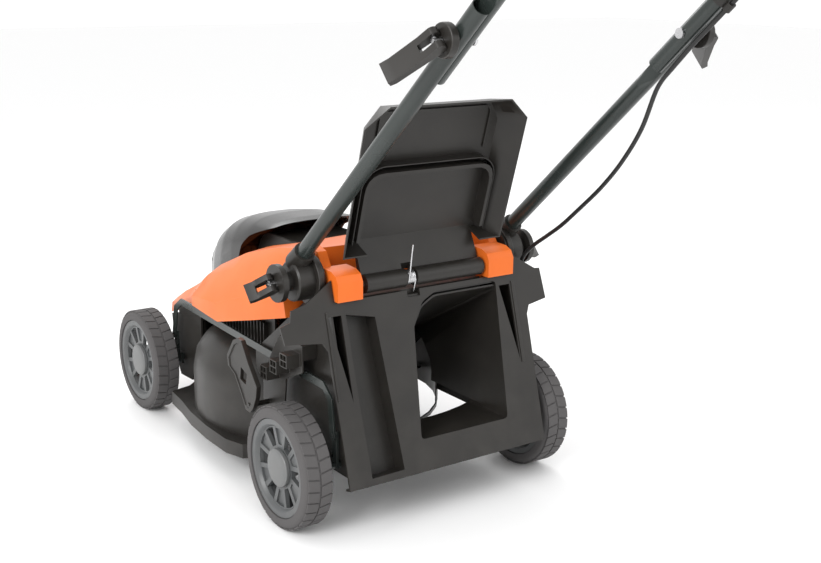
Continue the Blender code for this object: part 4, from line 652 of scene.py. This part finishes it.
# ---- Wheels -------------------------------------------------------------------------------------------
@dataclass
class Wheel:
    """A moulded wheel with a treaded tyre, six windows and a round hub cap."""

    node: str
    side: int
    tyre_radius: float = 0.0900
    width: float = 0.0458
    rim_radius: float = 0.0725
    cap_radius: float = 0.0280
    stub_radius: float = 0.0050
    block_height: float = 0.0016
    blocks: int = 32
    row_width: float = 0.0180
    groove: float = 0.0022
    windows: int = 6

    def place(self) -> Matrix:
        """The wheel's middle, with Z turned to the outside."""
        low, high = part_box(f"tyre_{self.node}")
        middle = (low + high) / 2
        return Matrix.Translation(middle) @ Matrix.Rotation(self.side * pi / 2, 4, "Y")

    def tread(self) -> Solid:
        """Two staggered rows of blocks wrapped round the carcass."""
        carcass = self.tyre_radius - self.block_height
        tree = GeometryTree(f"tread_{self.node}", {
            "Blocks": self.blocks, "Radius": carcass, "Row Width": self.row_width, "Groove": self.groove,
            "Height": self.block_height, "Slant": 2.2, "Row Gap": 0.0024})
        inputs = tree.enter.outputs
        pitch = tree.math("DIVIDE", tree.math("MULTIPLY", inputs["Radius"], 2 * pi), inputs["Blocks"])
        long = tree.math("SUBTRACT", pitch, inputs["Groove"])
        high = tree.math("ADD", inputs["Height"], 0.001)
        block = tree.node("GeometryNodeMeshCube", {
            "Size": tree.vector(long, inputs["Row Width"], high), "Vertices X": 4, "Vertices Y": 3})
        row_at = tree.math("MULTIPLY", tree.math("ADD", inputs["Row Width"], inputs["Row Gap"]), 0.5)
        level = tree.math("SUBTRACT", tree.math("MULTIPLY", high, 0.5), 0.001)
        rows = tree.node("GeometryNodeJoinGeometry")
        for way, start in ((1.0, 0.0), (-1.0, 0.5)):
            first = tree.vector(tree.math("MULTIPLY", pitch, start), tree.math("MULTIPLY", row_at, way),
                                level)
            laid = tree.copies(block, inputs["Blocks"], first, tree.vector(pitch, 0.0, 0.0))
            real = tree.node("GeometryNodeRealizeInstances", {"Geometry": laid})
            tree.link(real.outputs[0], rows.inputs[0])
        spot = tree.node("ShaderNodeSeparateXYZ",
                         {"Vector": tree.node("GeometryNodeInputPosition").outputs[0]})
        leaning = tree.math("MULTIPLY", tree.math("ABSOLUTE", spot.outputs["Y"]), inputs["Slant"])
        turn = tree.math("ADD", tree.math("DIVIDE", spot.outputs["X"], inputs["Radius"]), leaning)
        reach = tree.math("ADD", inputs["Radius"], spot.outputs["Z"])
        wrapped = tree.vector(tree.math("MULTIPLY", reach, tree.math("COSINE", turn)),
                              tree.math("MULTIPLY", reach, tree.math("SINE", turn)), spot.outputs["Y"])
        bent = tree.node("GeometryNodeSetPosition", {"Geometry": rows.outputs[0], "Position": wrapped})
        return tree.mesh(bent.outputs[0], RUBBER, self.place())

    def tyre(self) -> None:
        """The carcass with its rounded shoulders, and the tread on it."""
        half, out, rim = self.width / 2, self.tyre_radius - self.block_height, self.rim_radius + 0.0003
        profile = [(rim, -half + 0.0006), (rim + 0.001, -half), (out - 0.008, -half),
                   (out - 0.0035, -half + 0.0015),
                   (out - 0.001, -half + 0.0045), (out, -half + 0.0075), (out, half - 0.0075),
                   (out - 0.001, half - 0.0045), (out - 0.0035, half - 0.0015), (out - 0.008, half),
                   (rim + 0.001, half), (rim, half - 0.0006), (rim - 0.001, 0.0)]
        carcass = placed(ring(profile), self.place())
        piece(f"tyre_carcass_{self.node}", carcass, f"wheel_{self.node}", Slot.TYRE, [f"tyre_{self.node}"],
              0.0, keep_frame=True)
        piece(f"tyre_tread_{self.node}", self.tread(), f"wheel_{self.node}", Slot.TYRE, (), 0.0005,
              keep_frame=True, angle=50)

    def rim(self) -> None:
        """The dished rim with its windows and the shallow pockets in its spokes."""
        half, bead, bore = self.width / 2, self.rim_radius, self.stub_radius + 0.0004
        profile = [(bore, half - 0.012), (0.018, half - 0.012), (0.030, half - 0.0095),
                   (bead - 0.0125, half - 0.008),
                   (bead - 0.0095, half - 0.0035), (bead - 0.007, half - 0.0022),
                   (bead - 0.001, half - 0.0022),
                   (bead, half - 0.0032), (bead, -half + 0.003), (bead - 0.008, -half + 0.003),
                   (bead - 0.0125, half - 0.014), (0.018, half - 0.017), (0.016, -half + 0.006),
                   (bore, -half + 0.006)]
        obj = blank(f"rim_{self.node}", placed(ring(profile), self.place()), keep_frame=True)
        shift = Matrix.Translation((0, -AXLE_FRAME["shift"], 0))
        cuts = []
        for i in range(self.windows):
            turn = shift @ self.place() @ Matrix.Rotation(2 * pi * (i + 0.5) / self.windows, 4, "Z")
            window = [(0.0315, -0.0060), (0.0572, -0.0118), (0.0590, 0.0), (0.0572, 0.0118), (0.0315, 0.0060)]
            cuts.append(placed(prism(window, half - 0.030, half), turn))
            turn = shift @ self.place() @ Matrix.Rotation(2 * pi * i / self.windows, 4, "Z")
            pocket = [(0.0345, -0.0046), (0.0570, -0.0114), (0.0585, 0.0), (0.0570, 0.0114), (0.0345, 0.0046)]
            cuts.append(placed(prism(pocket, half - 0.0115, half), turn))
        carve(obj, cuts)
        soften(obj.data, 0.0006)
        dress(shade(obj), f"wheel_{self.node}", Slot.RIM, [f"rim_{self.node}"])

    def cap(self) -> None:
        """The round cap with a crowned face and a fine step round its edge."""
        half, out = self.width / 2, self.cap_radius
        profile = [(0.0150, half - 0.0117), (out - 0.001, half - 0.0100), (out, half - 0.0090),
                   (out, half - 0.0045), (out - 0.0008, half - 0.0034), (out - 0.0022, half - 0.0030),
                   (out - 0.0032, half - 0.0022),
                   (out - 0.010, half - 0.0012), (0.006, half - 0.0008), (0.0005, half - 0.0008)]
        piece(f"hub_cap_{self.node}", placed(stack(profile, 64), self.place()), f"wheel_{self.node}",
              Slot.CAP, [f"hub_cap_{self.node}"], 0.0003, keep_frame=True)

    def build(self) -> None:
        """Makes the whole wheel."""
        self.tyre()
        self.rim()
        self.cap()


# ---- Handle -------------------------------------------------------------------------------------------
@dataclass
class Handle:
    """The folding tube handle with its clamps, grip, bail and control cable."""

    slope: float = radians(42)
    tube_radius: float = 0.0113
    tube_wall: float = 0.0012
    lower_x: float = 0.186
    upper_x: float = 0.1775
    press_x: float = 0.1815
    press_run: float = 0.030  # the length over which a tube turns from round to pressed
    foot: Vector = field(default_factory=lambda: Vector((0, 0.022, 0.379)))
    tube_start: float = 0.010
    lower_reach: float = 0.485
    lower_overrun: float = 0.055
    upper_overrun: float = 0.066
    upper_reach: float = 0.470
    corner: float = 0.070
    grip_radius: float = 0.0160
    cable_radius: float = 0.0031
    cable_below: float = 0.0175
    clip_reach: float = 0.071
    gland: Vector = field(default_factory=lambda: Vector((0.190, -0.0155, 0.322)))
    switch_x: Pair = (0.036, 0.106)

    def __post_init__(self) -> None:
        """Works out the handle's directions and its bolt."""
        self.up = Vector((0, -cos(self.slope), sin(self.slope)))
        self.normal = Vector((0, sin(self.slope), cos(self.slope)))
        self.bolt = self.foot + self.up * self.lower_reach
        self.grip = self.bolt + self.up * self.upper_reach

    def at(self, x: float, reach: float, below: float = 0.0) -> Vector:
        """A point beside the handle: reach up from the clamp bolt, and below the tube's line."""
        return self.bolt + self.up * reach - self.normal * below + Vector((x, 0, 0))

    def lower_tubes(self) -> None:
        """Two straight tubes, pressed flat inside where the upper tube lies on them."""
        for side, name in ((-1, "left"), (1, "right")):
            foot = self.foot + Vector((side * self.lower_x, 0, 0))
            end = self.lower_reach + self.lower_overrun
            flat, press = self.lower_reach - self.upper_overrun - 0.012, self.press_run
            stops = [self.tube_start, *(flat - press + 0.003 * i for i in range(11)), end - 0.0008, end]
            tube = sweep([foot + self.up * s for s in stops], self.tube_radius, 48,
                         self.tube_radius - self.tube_wall)
            half = len(tube[0]) // 2
            for i, p in enumerate(tube[0]):
                share = eased(((p - foot).dot(self.up) - flat + press) / press)
                limit = self.press_x + (self.tube_wall if i >= half else 0.0)
                pressed = side * max(side * p.x, limit)
                p.x = p.x * (1 - share) + pressed * share
            piece(f"lower_tube_{name}_painted", tube, "lower_handle", Slot.TUBE, [f"lower_tube_{name}"],
                  0.0003, angle=50)

    def upper_tube(self) -> None:
        """One tube bent into a U under the grip."""
        start = self.at(0, -self.upper_overrun)
        flat_end = self.upper_overrun + self.lower_overrun + 0.010
        half, corner, rise = self.upper_x, self.corner, self.upper_overrun + self.upper_reach
        stops = [0, 0.0008, flat_end, *(flat_end + 0.003 * i for i in range(1, 11)), rise - corner]
        path = [start + self.up * s + Vector((half, 0, 0)) for s in stops]
        for i in range(1, 17):
            t = pi / 2 * i / 16
            path.append(start + self.up * (rise - corner + corner * sin(t))
                        + Vector((half - corner + corner * cos(t), 0, 0)))
        path += [Vector((-p.x, p.y, p.z)) for p in reversed(path)]
        tube = sweep(path, self.tube_radius, 48, self.tube_radius - self.tube_wall)
        inner = len(tube[0]) // 2
        for i, p in enumerate(tube[0]):
            share = eased(1 - min(max(((p - start).dot(self.up) - flat_end) / self.press_run, 0), 1))
            limit = self.press_x - 0.0003 - (self.tube_wall if i >= inner else 0.0)
            p.x = p.x * (1 - share) + max(-limit, min(limit, p.x)) * share
        piece("upper_tube_painted", tube, "upper_handle", Slot.TUBE, ["upper_handle_tube"], 0.0003, angle=50)

    def grip_sleeve(self) -> None:
        """The soft sleeve with fine rings moulded round it."""
        start = self.corner - self.upper_x + 0.003
        end = self.switch_x[0] - 0.001
        count = 44
        pitch = (end - start) / count
        profile = [(self.tube_radius + 0.0003, 0.0)]
        for i in range(count):
            for share, depth in ((0.0, 0.0009), (0.18, 0.0), (0.62, 0.0), (0.80, 0.0009)):
                profile.append((self.grip_radius - depth, pitch * (i + share)))
        profile += [(self.grip_radius - 0.0009, end - start), (self.tube_radius + 0.0003, end - start)]
        piece("grip_sleeve_ribbed", along_x(ring(profile, 48), start, self.grip.y, self.grip.z),
              "upper_handle", Slot.TYRE, ["grip_sleeve"], 0.0)

    def cables(self) -> None:
        """The control cable: one length along the upper handle, one hanging to the gland."""
        x, below, reach = self.upper_x, self.cable_below, self.upper_reach
        top = [self.at(self.switch_x[1] + 0.0003, reach - 0.040, 0.010),
               self.at(0.128, reach - 0.041, 0.0105),
               self.at(0.150, reach - 0.055, 0.0135), self.at(0.168, reach - 0.085, 0.0165),
               self.at(x, reach - 0.125, below)]
        run = [self.at(x, r, below)
               for r in (0.25, 0.15, self.clip_reach + 0.02, self.clip_reach, self.clip_reach - 0.02, 0.0)]
        meet, ahead = self.at(0.179, -0.050, 0.0190), self.at(0.1805, -0.085, 0.0225)
        way = (ahead - meet).normalized()
        loose = [(0.182, -0.265, 0.574), (0.184, -0.230, 0.525), (0.186, -0.190, 0.483),
                 (0.188, -0.145, 0.4445),
                 (0.189, -0.108, 0.414), (0.190, -0.076, 0.392), (0.190, -0.050, 0.3745),
                 (0.190, -0.030, 0.358), (0.190, -0.0195, 0.344)]
        end = [self.gland + Vector((0, 0, 0.010)), self.gland + Vector((0, 0, 0.0003))]
        lower = [meet + way * 0.0003, ahead, *(Vector(p) for p in loose), *end]
        shift = Vector((0, AXLE_FRAME["shift"], 0))
        for name, node, route, pair in (("lower", "control_cable_lower", lower[::-1],
                                         ("mower", "lower_handle")),
                                        ("upper", "control_cable_upper", [meet, *run[::-1], *top[::-1]],
                                         ("lower_handle", "upper_handle"))):
            path = [p + shift for p in smooth_path(route, 0.006)]
            obj = piece(f"control_cable_{name}_jacket", sweep(path, self.cable_radius, 16), pair[1],
                        Slot.CABLE, [node], 0.0, keep_frame=True)
            obj.parent = None
            del obj["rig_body"]
            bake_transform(obj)
            LOG.info("control cable, %s length: %.3f m", name, length_of(path))

    def build(self, frame: dict) -> None:
        """Makes the handle."""
        self.lower_tubes()
        self.upper_tube()
        self.grip_sleeve()
        for side in ("left", "right"):
            for node, slot, width in (("pivot_socket", Slot.BLACK, 0.0009),
                                      ("clamp_seat", Slot.BLACK, 0.0012),
                                      ("pivot_bolt", Slot.ZINC, 0.0004), ("clamp_bolt", Slot.ZINC, 0.0004),
                                      ("lower_cam_lever", Slot.BLACK, 0.0009),
                                      ("upper_cam_lever", Slot.BLACK, 0.0009)):
                refined(frame, f"{node}_{side}", slot, width)
        refined(frame, "switch_box", Slot.BLACK, 0.004)
        refined(frame, "start_button", Slot.ORANGE, 0.0015)
        refined(frame, "bail_lever", Slot.ZINC, 0.0)
        refined(frame, "cable_clip", Slot.BLACK, 0.0005)
        self.cables()


# ---- Flap ---------------------------------------------------------------------------------------------
@dataclass
class Flap:
    """The discharge flap, standing open on its rod, and its coil spring."""

    hinge: Vector = field(default_factory=lambda: Vector((0, -0.0215, 0.346)))
    lean: float = radians(16.3)
    spring_x: Pair = (-0.0345, -0.0175)
    spring_radius: float = 0.0100
    wire: float = 0.0012
    turns: float = 5.0
    depth: float = 0.036
    set_back: float = 0.0076
    lip: float = 0.0016

    def frame(self) -> Matrix:
        """The flap's frame: X across, Y up the flap, Z to its open side."""
        return Matrix.Translation(self.hinge) @ Matrix.Rotation(pi / 2 + self.lean, 4, "X")

    def spring(self) -> None:
        """A close coil round the rod with one leg up the flap and one down to the panel."""
        start, end = self.spring_x[0] + 0.0022, self.spring_x[1] - 0.0022
        tree = GeometryTree("flap_spring_coil", {"Turns": self.turns, "Radius": self.spring_radius,
                                                 "Length": end - start, "Wire": self.wire})
        inputs = tree.enter.outputs
        coil = tree.node("GeometryNodeCurveSpiral", {
            "Resolution": 28, "Rotations": inputs["Turns"], "Start Radius": inputs["Radius"],
            "End Radius": inputs["Radius"], "Height": inputs["Length"]})
        section = tree.node("GeometryNodeCurvePrimitiveCircle", {"Resolution": 10, "Radius": inputs["Wire"]})
        body = tree.node("GeometryNodeCurveToMesh",
                         {"Curve": coil.outputs[0], "Profile Curve": section.outputs[0],
                                                     "Fill Caps": True})
        about_x = self.frame() @ Matrix.Translation((start, 0, 0)) @ Matrix.Rotation(pi / 2, 4, "Y")
        solid = tree.mesh(body.outputs[0], ZINC, about_x)
        up = [Vector((start, -0.002, 0.0100)), Vector((start, 0.012, 0.0098)), Vector((start, 0.040, 0.0060)),
              Vector((start, 0.056, 0.0042))]
        down = [Vector((end, 0.002, self.spring_radius)), Vector((end, -0.0120, self.spring_radius)),
                Vector((end, -0.0200, self.spring_radius))]
        legs = [sweep([self.frame() @ p for p in smooth_path(leg, 0.003)], self.wire, 10) for leg in (up,
                                                                                                      down)]
        piece("flap_spring_coiled", joined(solid, *legs), "discharge_flap", Slot.ZINC, ["flap_spring"], 0.0)

    def outer_arch(self) -> None:
        """A second, thinner arch outside the first, and the frame of the flat field above them."""
        back = -self.set_back - self.depth + 0.001

        def band(half: float, foot: float, top: float, corner: float, high: float) -> Solid:
            lines = []
            for thick in (0.0, self.lip):
                bends = [pi / 2 * i / 12 for i in range(13)]
                reach = corner - thick
                arc = [(half - corner + reach * cos(t), top - corner + reach * sin(t)) for t in bends]
                right = [(half - thick, foot), *arc]
                lines.append([*right, *[(-x, y) for x, y in reversed(right)]])
            return prism([*lines[0], *reversed(lines[1])], back, high)

        lips = joined(band(0.1170, 0.050, 0.1690, 0.036, -self.set_back - 0.017),
                      band(0.0960, 0.1780, 0.2440, 0.012, back + 0.0045))
        piece("flap_lips", placed(lips, self.frame()), "discharge_flap", Slot.BLACK, round_by=0.0003)

    def build(self, frame: dict) -> None:
        """Makes the flap, its rod and its spring."""
        refined(frame, "discharge_flap", Slot.BLACK, 0.0009)
        self.outer_arch()
        refined(frame, "flap_rod", Slot.ZINC, 0.0003)
        self.spring()


# ---- Deck and cover -----------------------------------------------------------------------------------
COVER_STATIONS = (  # y, belly (x, z), shoulder (x, z), crown z
    (0.0600, (0.188, 0.320), (0.140, 0.386), 0.384),
    (0.1600, (0.192, 0.300), (0.138, 0.368), 0.374),
    (0.2700, (0.192, 0.264), (0.136, 0.338), 0.350),
    (0.3700, (0.187, 0.252), (0.132, 0.298), 0.316),
    (0.4500, (0.147, 0.228), (0.120, 0.256), 0.281),
    (0.5300, (0.137, 0.200), (0.108, 0.222), 0.245),
    (0.5950, (0.123, 0.180), (0.095, 0.190), 0.206),
    (0.6300, (0.089, 0.158), (0.070, 0.164), 0.172),
)
Station = tuple[float | Pair, ...]


def between(stations: Sequence[Station], y: float) -> list[float | Vector]:
    """Reads a value or a pair from the stations at y, by straight lines."""
    for a, b in zip(stations, stations[1:]):
        if y <= b[0]:
            break
    t = min(max((y - a[0]) / (b[0] - a[0]), 0), 1)
    return [Vector(p).lerp(Vector(q), t) if isinstance(p, tuple) else p + (q - p) * t
            for p, q in zip(a[1:], b[1:])]


@dataclass
class Hood:
    """The glossy visor over the packs, with its slanting rounded mouth."""

    stations: tuple[tuple[float, float, float], ...] = (  # y, half width, top z
        (0.235, 0.0970, 0.3790), (0.290, 0.0975, 0.3815), (0.350, 0.0970, 0.3790), (0.410, 0.0940, 0.3700),
        (0.460, 0.0890, 0.3560), (0.505, 0.0800, 0.3340), (0.540, 0.0680, 0.3050), (0.560, 0.0520, 0.2760))
    mouth: tuple[Pair, ...] = (  # z, y of the mouth's edge
        (0.250, 0.385), (0.300, 0.380), (0.330, 0.366), (0.350, 0.338), (0.362, 0.305), (0.372, 0.275),
        (0.385, 0.258))
    wall: float = 0.003
    nose_from: float = 0.535
    rows: int = 40
    columns: int = 44

    def level(self, x: float, y: float) -> float:
        """Height of the cover under the hood at (x, y)."""
        belly, shoulder, crown = between(COVER_STATIONS, y)
        flank = (belly * 0.35 + shoulder * 0.65) + Vector((0.006, 0.002))
        ridge = (shoulder.x * 0.72, shoulder.y + (crown - shoulder.y) * 0.45)
        line = [(0.0, crown), ridge, tuple(shoulder), tuple(flank), tuple(belly)]
        for (xa, za), (xb, zb) in zip(line, line[1:]):
            if xa <= abs(x) <= xb:
                return za + (zb - za) * (abs(x) - xa) / (xb - xa)
        return line[0][1]

    def point(self, turn: float, y: float, inset: float) -> Vector:
        """A point on the hood's arch at y, turn radians round from its right foot."""
        half, crown = between(self.stations, y)
        width, crown = half - inset, crown - inset
        spots = [half, half - self.wall, 0.0 if y > self.nose_from else half]
        base = max(self.level(x, y) for x in spots) + 0.0020
        c, s = cos(turn), max(sin(turn), 0.0)
        across = width * (abs(c) ** 0.62) * (1 if c >= 0 else -1)
        return Vector((across, y, base + (crown - base) * s**0.7))

    def surface(self, inset: float) -> list[list[Vector]]:
        """The hood's skin as rows of points from its mouth to its nose."""
        lines = []
        for i in range(self.columns + 1):
            turn = pi * i / self.columns
            start = 0.33
            for _ in range(30):
                goal = between(self.mouth, min(max(self.point(turn, start, inset).z, 0.25), 0.385))[0]
                start += (goal - start) * 0.5
            end = self.stations[-1][0] - inset
            lines.append([self.point(turn, start + (end - start) * j / self.rows, inset)
                          for j in range(self.rows + 1)])
        return lines

    def build(self) -> None:
        """Makes the hood as one closed shell."""
        outer, inner = self.surface(0.0), self.surface(self.wall)
        around = [*outer, *reversed(inner)]
        loops = [[line[j] for line in around] for j in range(self.rows + 1)]
        piece("battery_hood_shell", loft(loops), "battery_hood", Slot.GLOSS, ["battery_hood"], 0.0008,
              angle=50)


@dataclass
class Deck:
    """The deck, its rear panel and duct, the orange cover and what stands in it."""

    panel_foot: Vector = field(default_factory=lambda: Vector((0, -0.1033, 0.0772)))
    panel_lean: float = radians(15.74)
    slot_top: float = 0.246
    slot_depth: float = 0.02
    left_rib_x: Pair = (-0.1755, -0.1725)
    right_rib_x: Pair = (0.1545, 0.1600)
    rib_run: Pair = (0.125, 0.250)
    rib_height: float = 0.0016
    slats: int = 24
    slat_pitch: float = 0.0105
    slat_x: float = 0.1470
    slats_from: float = 0.190
    slat_level: float = 0.2230
    liner_x: Pair = (0.1400, 0.1430)
    cheek_x: Pair = (0.1350, 0.1400)
    lever_x: Pair = (-0.2255, -0.2180)
    lever_field_x: float = -0.2238  # how far in the lever's raised rim stands

    def on_panel(self) -> Matrix:
        """The rear panel's frame: X across, Y up its rear face, Z out of it."""
        return Matrix.Translation(self.panel_foot) @ Matrix.Rotation(pi / 2 - self.panel_lean, 4, "X")

    def rear_panel(self, frame: dict) -> None:
        """The back plate with a tapered slot near each edge, and a rib beside each slot."""
        left = [(-0.1715, self.slot_top - 0.003), (-0.1505, self.slot_top - 0.003), (-0.1510, 0.120)]
        right = [(0.1310, self.slot_top), (0.1515, self.slot_top), (0.1520, 0.130)]
        slots = [placed(prism(slot, -self.slot_depth, 0.01), self.on_panel()) for slot in (left, right)]
        foot, top = self.rib_run
        ribs = [placed(slab((x0, foot, -0.001), (x1, top, self.rib_height)), self.on_panel())
                for x0, x1 in (self.left_rib_x, self.right_rib_x)]
        refined(frame, "rear_panel", Slot.BLACK, 0.0009, cuts=slots)
        piece("panel_ribs", joined(*ribs), "mower", Slot.BLACK)

    def vents(self) -> None:
        """The slatted liner under each side of the cover."""
        outline = [(0.168, 0.203), (0.168, 0.270), (0.275, 0.243), (0.372, 0.244), (0.452, 0.222),
                   (0.520, 0.198), (0.520, 0.176), (0.440, 0.196)]
        walls = [plate(outline, *sorted(side * x for x in self.liner_x)) for side in (-1, 1)]
        piece("cover_liner", joined(*walls), "mower", Slot.BLACK, round_by=0.0004)
        tree = GeometryTree("vent_slats", {"Slats": self.slats, "Pitch": self.slat_pitch, "Thickness": 0.0024,
                                           "Height": 0.042, "Depth": 0.0085})
        inputs = tree.enter.outputs
        size = tree.vector(inputs["Depth"], inputs["Thickness"], inputs["Height"])
        slat = tree.node("GeometryNodeMeshCube", {"Size": size})
        both = tree.node("GeometryNodeJoinGeometry")
        for side in (-1, 1):
            first = tree.vector(side * self.slat_x, self.slats_from, self.slat_level)
            row = tree.copies(slat, inputs["Slats"], first, tree.vector(0.0, inputs["Pitch"], 0.0))
            tree.link(row, both.inputs[0])
        slats = tree.mesh(both.outputs[0], BLACK, Matrix.Identity(4))
        piece("vent_slats", slats, "mower", Slot.BLACK, round_by=0.0004)

    def brackets(self) -> None:
        """The front axle's cheeks with the wall between them, and the dark bed under the flap's hinge."""
        cheek = [(0.440, 0.205), (0.560, 0.170), (0.552, 0.118), (0.5431, 0.085), (0.5292, 0.0625),
                 (0.4817, 0.0644), (0.4686, 0.1008), (0.440, 0.150)]
        solids = [plate(cheek, *sorted(side * x for x in self.cheek_x)) for side in (-1, 1)]
        solids.append(slab((-0.1380, 0.5300, 0.112), (0.1380, 0.5335, 0.196)))
        piece("front_cheeks", joined(*solids), "mower", Slot.BLACK, round_by=0.0010)
        bed = joined(slab((-0.1135, -0.0195, 0.3272), (0.1055, 0.0565, 0.3284)),
                     slab((-0.1135, -0.0225, 0.3120), (0.1055, -0.0187, 0.3286)))
        piece("hinge_bed", bed, "mower", Slot.BLACK, round_by=0.0004)

    def lever(self) -> None:
        """The broad height lever with its raised rim and its diamond window."""
        outline = [(0.121, 0.2460), (0.133, 0.2470), (0.148, 0.240), (0.1695, 0.211), (0.1665, 0.196),
                   (0.147, 0.188),
                   (0.124, 0.160), (0.112, 0.1415), (0.098, 0.1405), (0.088, 0.150), (0.078, 0.170),
                   (0.075, 0.187), (0.100, 0.216), (0.112, 0.233)]
        middle = Vector((0.124, 0.196))
        inset = [tuple(middle + (Vector(p) - middle) * 0.86) for p in outline]
        diamond = [(0.1270, 0.2030), (0.1085, 0.1970), (0.1130, 0.1800), (0.1300, 0.1840)]
        obj = blank("height_lever_moulded", plate(outline, *self.lever_x))
        carve(obj, [plate(inset, self.lever_x[0] - 0.0045, self.lever_field_x), plate(diamond, -0.24, -0.20)])
        soften(obj.data, 0.0007)
        dress(shade(obj), "height_lever", Slot.BLACK, ["height_lever"])

    def build(self, frame: dict) -> None:
        """Makes the fixed pieces of the mower."""
        plain = {
            Slot.BLACK: {"deck_shell": 0.0010, "discharge_chute": 0.0006, "battery_tray": 0.0006,
                         "motor_housing": 0.0012, "pivot_boss_left": 0.0010, "pivot_boss_right": 0.0010,
                         "cable_gland": 0.0005, "height_quadrant": 0.0006, "blade_fan": 0.0005,
                         "battery_pack_left": 0.0025, "battery_pack_right": 0.0025},
            Slot.ORANGE: {"top_cover": 0.0010, "safety_key": 0.0010},
            Slot.TUBE: {"rear_axle": 0.0005, "front_axle": 0.0005, "link_bar": 0.0005},
            Slot.ZINC: {"motor_shaft": 0.0005, "blade_bolt": 0.0006},
            Slot.DARK: {"control_board": 0.0004, "blade": 0.0004},
        }
        for slot, rounds in plain.items():
            for node, width in rounds.items():
                refined(frame, node, slot, width)
        self.rear_panel(frame)
        self.vents()
        self.brackets()
        self.lever()
        Hood().build()


# ---- Room ---------------------------------------------------------------------------------------------
@dataclass(frozen=True)
class Studio:
    """A pale floor, soft lights and the camera."""

    place: Color = (-1.00811, -1.41929, 0.77970)
    azimuth: float = radians(-35.1996)
    elevation: float = radians(14.4638)
    roll: float = radians(0.6192)
    lens: float = 53.35

    def floor(self) -> None:
        """A wide, flat, pale floor."""
        finish = bpy.data.materials.new("studio_floor")
        finish.use_nodes = True
        shader = finish.node_tree.nodes["Principled BSDF"]
        shader.inputs["Base Color"].default_value = (0.93, 0.93, 0.93, 1)
        shader.inputs["Roughness"].default_value = 0.7
        mesh = bpy.data.meshes.new("studio_floor")
        size = 14.0
        mesh.from_pydata([(-size, -size, 0), (size, -size, 0), (size, size, 0), (-size, size, 0)], [],
                         [(0, 1, 2, 3)])
        floor = link_object("studio_floor", mesh)
        floor.location.z = -0.0002
        floor.data.materials.append(finish)

    def light(self, name: str, place: Color, aim: Color, power: float, size: float) -> None:
        """One soft area light.

        Args:
            name: The light's name.
            place: Where it hangs.
            aim: The point it faces.
            power: Watts.
            size: Side of the square panel.
        """
        lamp = bpy.data.lights.new(name, "AREA")
        lamp.energy, lamp.size = power, size
        obj = bpy.data.objects.new(name, lamp)
        obj.location = place
        obj.rotation_euler = (Vector(aim) - Vector(place)).to_track_quat("-Z", "Y").to_euler()
        bpy.context.scene.collection.objects.link(obj)

    def build(self) -> None:
        """Makes the floor, the lights, the sky and the camera."""
        self.floor()
        world = bpy.data.worlds.new("studio")
        world.use_nodes = True
        world.node_tree.nodes["Background"].inputs["Color"].default_value = (1.0, 1.0, 1.0, 1)
        world.node_tree.nodes["Background"].inputs["Strength"].default_value = 1.05
        bpy.context.scene.world = world
        self.light("key", (-2.6, -1.1, 1.9), (0, 0, 0.3), 68, 1.3)
        self.light("fill", (1.8, -2.4, 1.6), (0, 0, 0.4), 12, 2.0)
        self.light("back", (0.5, 2.6, 2.4), (0, 0.2, 0.3), 35, 1.8)
        bpy.context.scene.view_settings.view_transform = "Standard"
        a, e, r = self.azimuth, self.elevation, self.roll
        back = Vector((sin(a) * cos(e), -cos(a) * cos(e), sin(e)))
        across = Vector((0, 0, 1)).cross(back).normalized()
        over = back.cross(across)
        x, y = across * cos(r) + over * sin(r), over * cos(r) - across * sin(r)
        data = bpy.data.cameras.new("camera")
        data.lens, data.sensor_width = self.lens, 36.0
        camera = bpy.data.objects.new("camera", data)
        place = Vector(self.place) + Vector((0, AXLE_FRAME["shift"], 0))
        camera.matrix_world = Matrix((
            (x.x, y.x, back.x, place.x), (x.y, y.y, back.y, place.y), (x.z, y.z, back.z, place.z),
            (0, 0, 0, 1)))
        bpy.context.scene.collection.objects.link(camera)
        bpy.context.scene.camera = camera


def main() -> None:
    """Builds every sub-assembly in order."""
    logging.basicConfig(level=logging.INFO, format="%(message)s")
    for obj in list(bpy.data.objects):
        bpy.data.objects.remove(obj)
    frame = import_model()
    low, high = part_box("tyre_rear_left")
    AXLE_FRAME["shift"] = (low.y + high.y) / 2
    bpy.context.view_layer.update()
    Studio().build()
    LOG.info("studio and camera")
    Deck().build(frame)
    LOG.info("deck, cover and hood")
    Flap().build(frame)
    LOG.info("flap")
    Handle().build(frame)
    LOG.info("handle")
    for node in ("rear_left", "rear_right", "front_left", "front_right"):
        Wheel(node, -1 if "left" in node else 1).build()
        LOG.info("wheel %s", node)


if __name__ == "__main__":
    main()
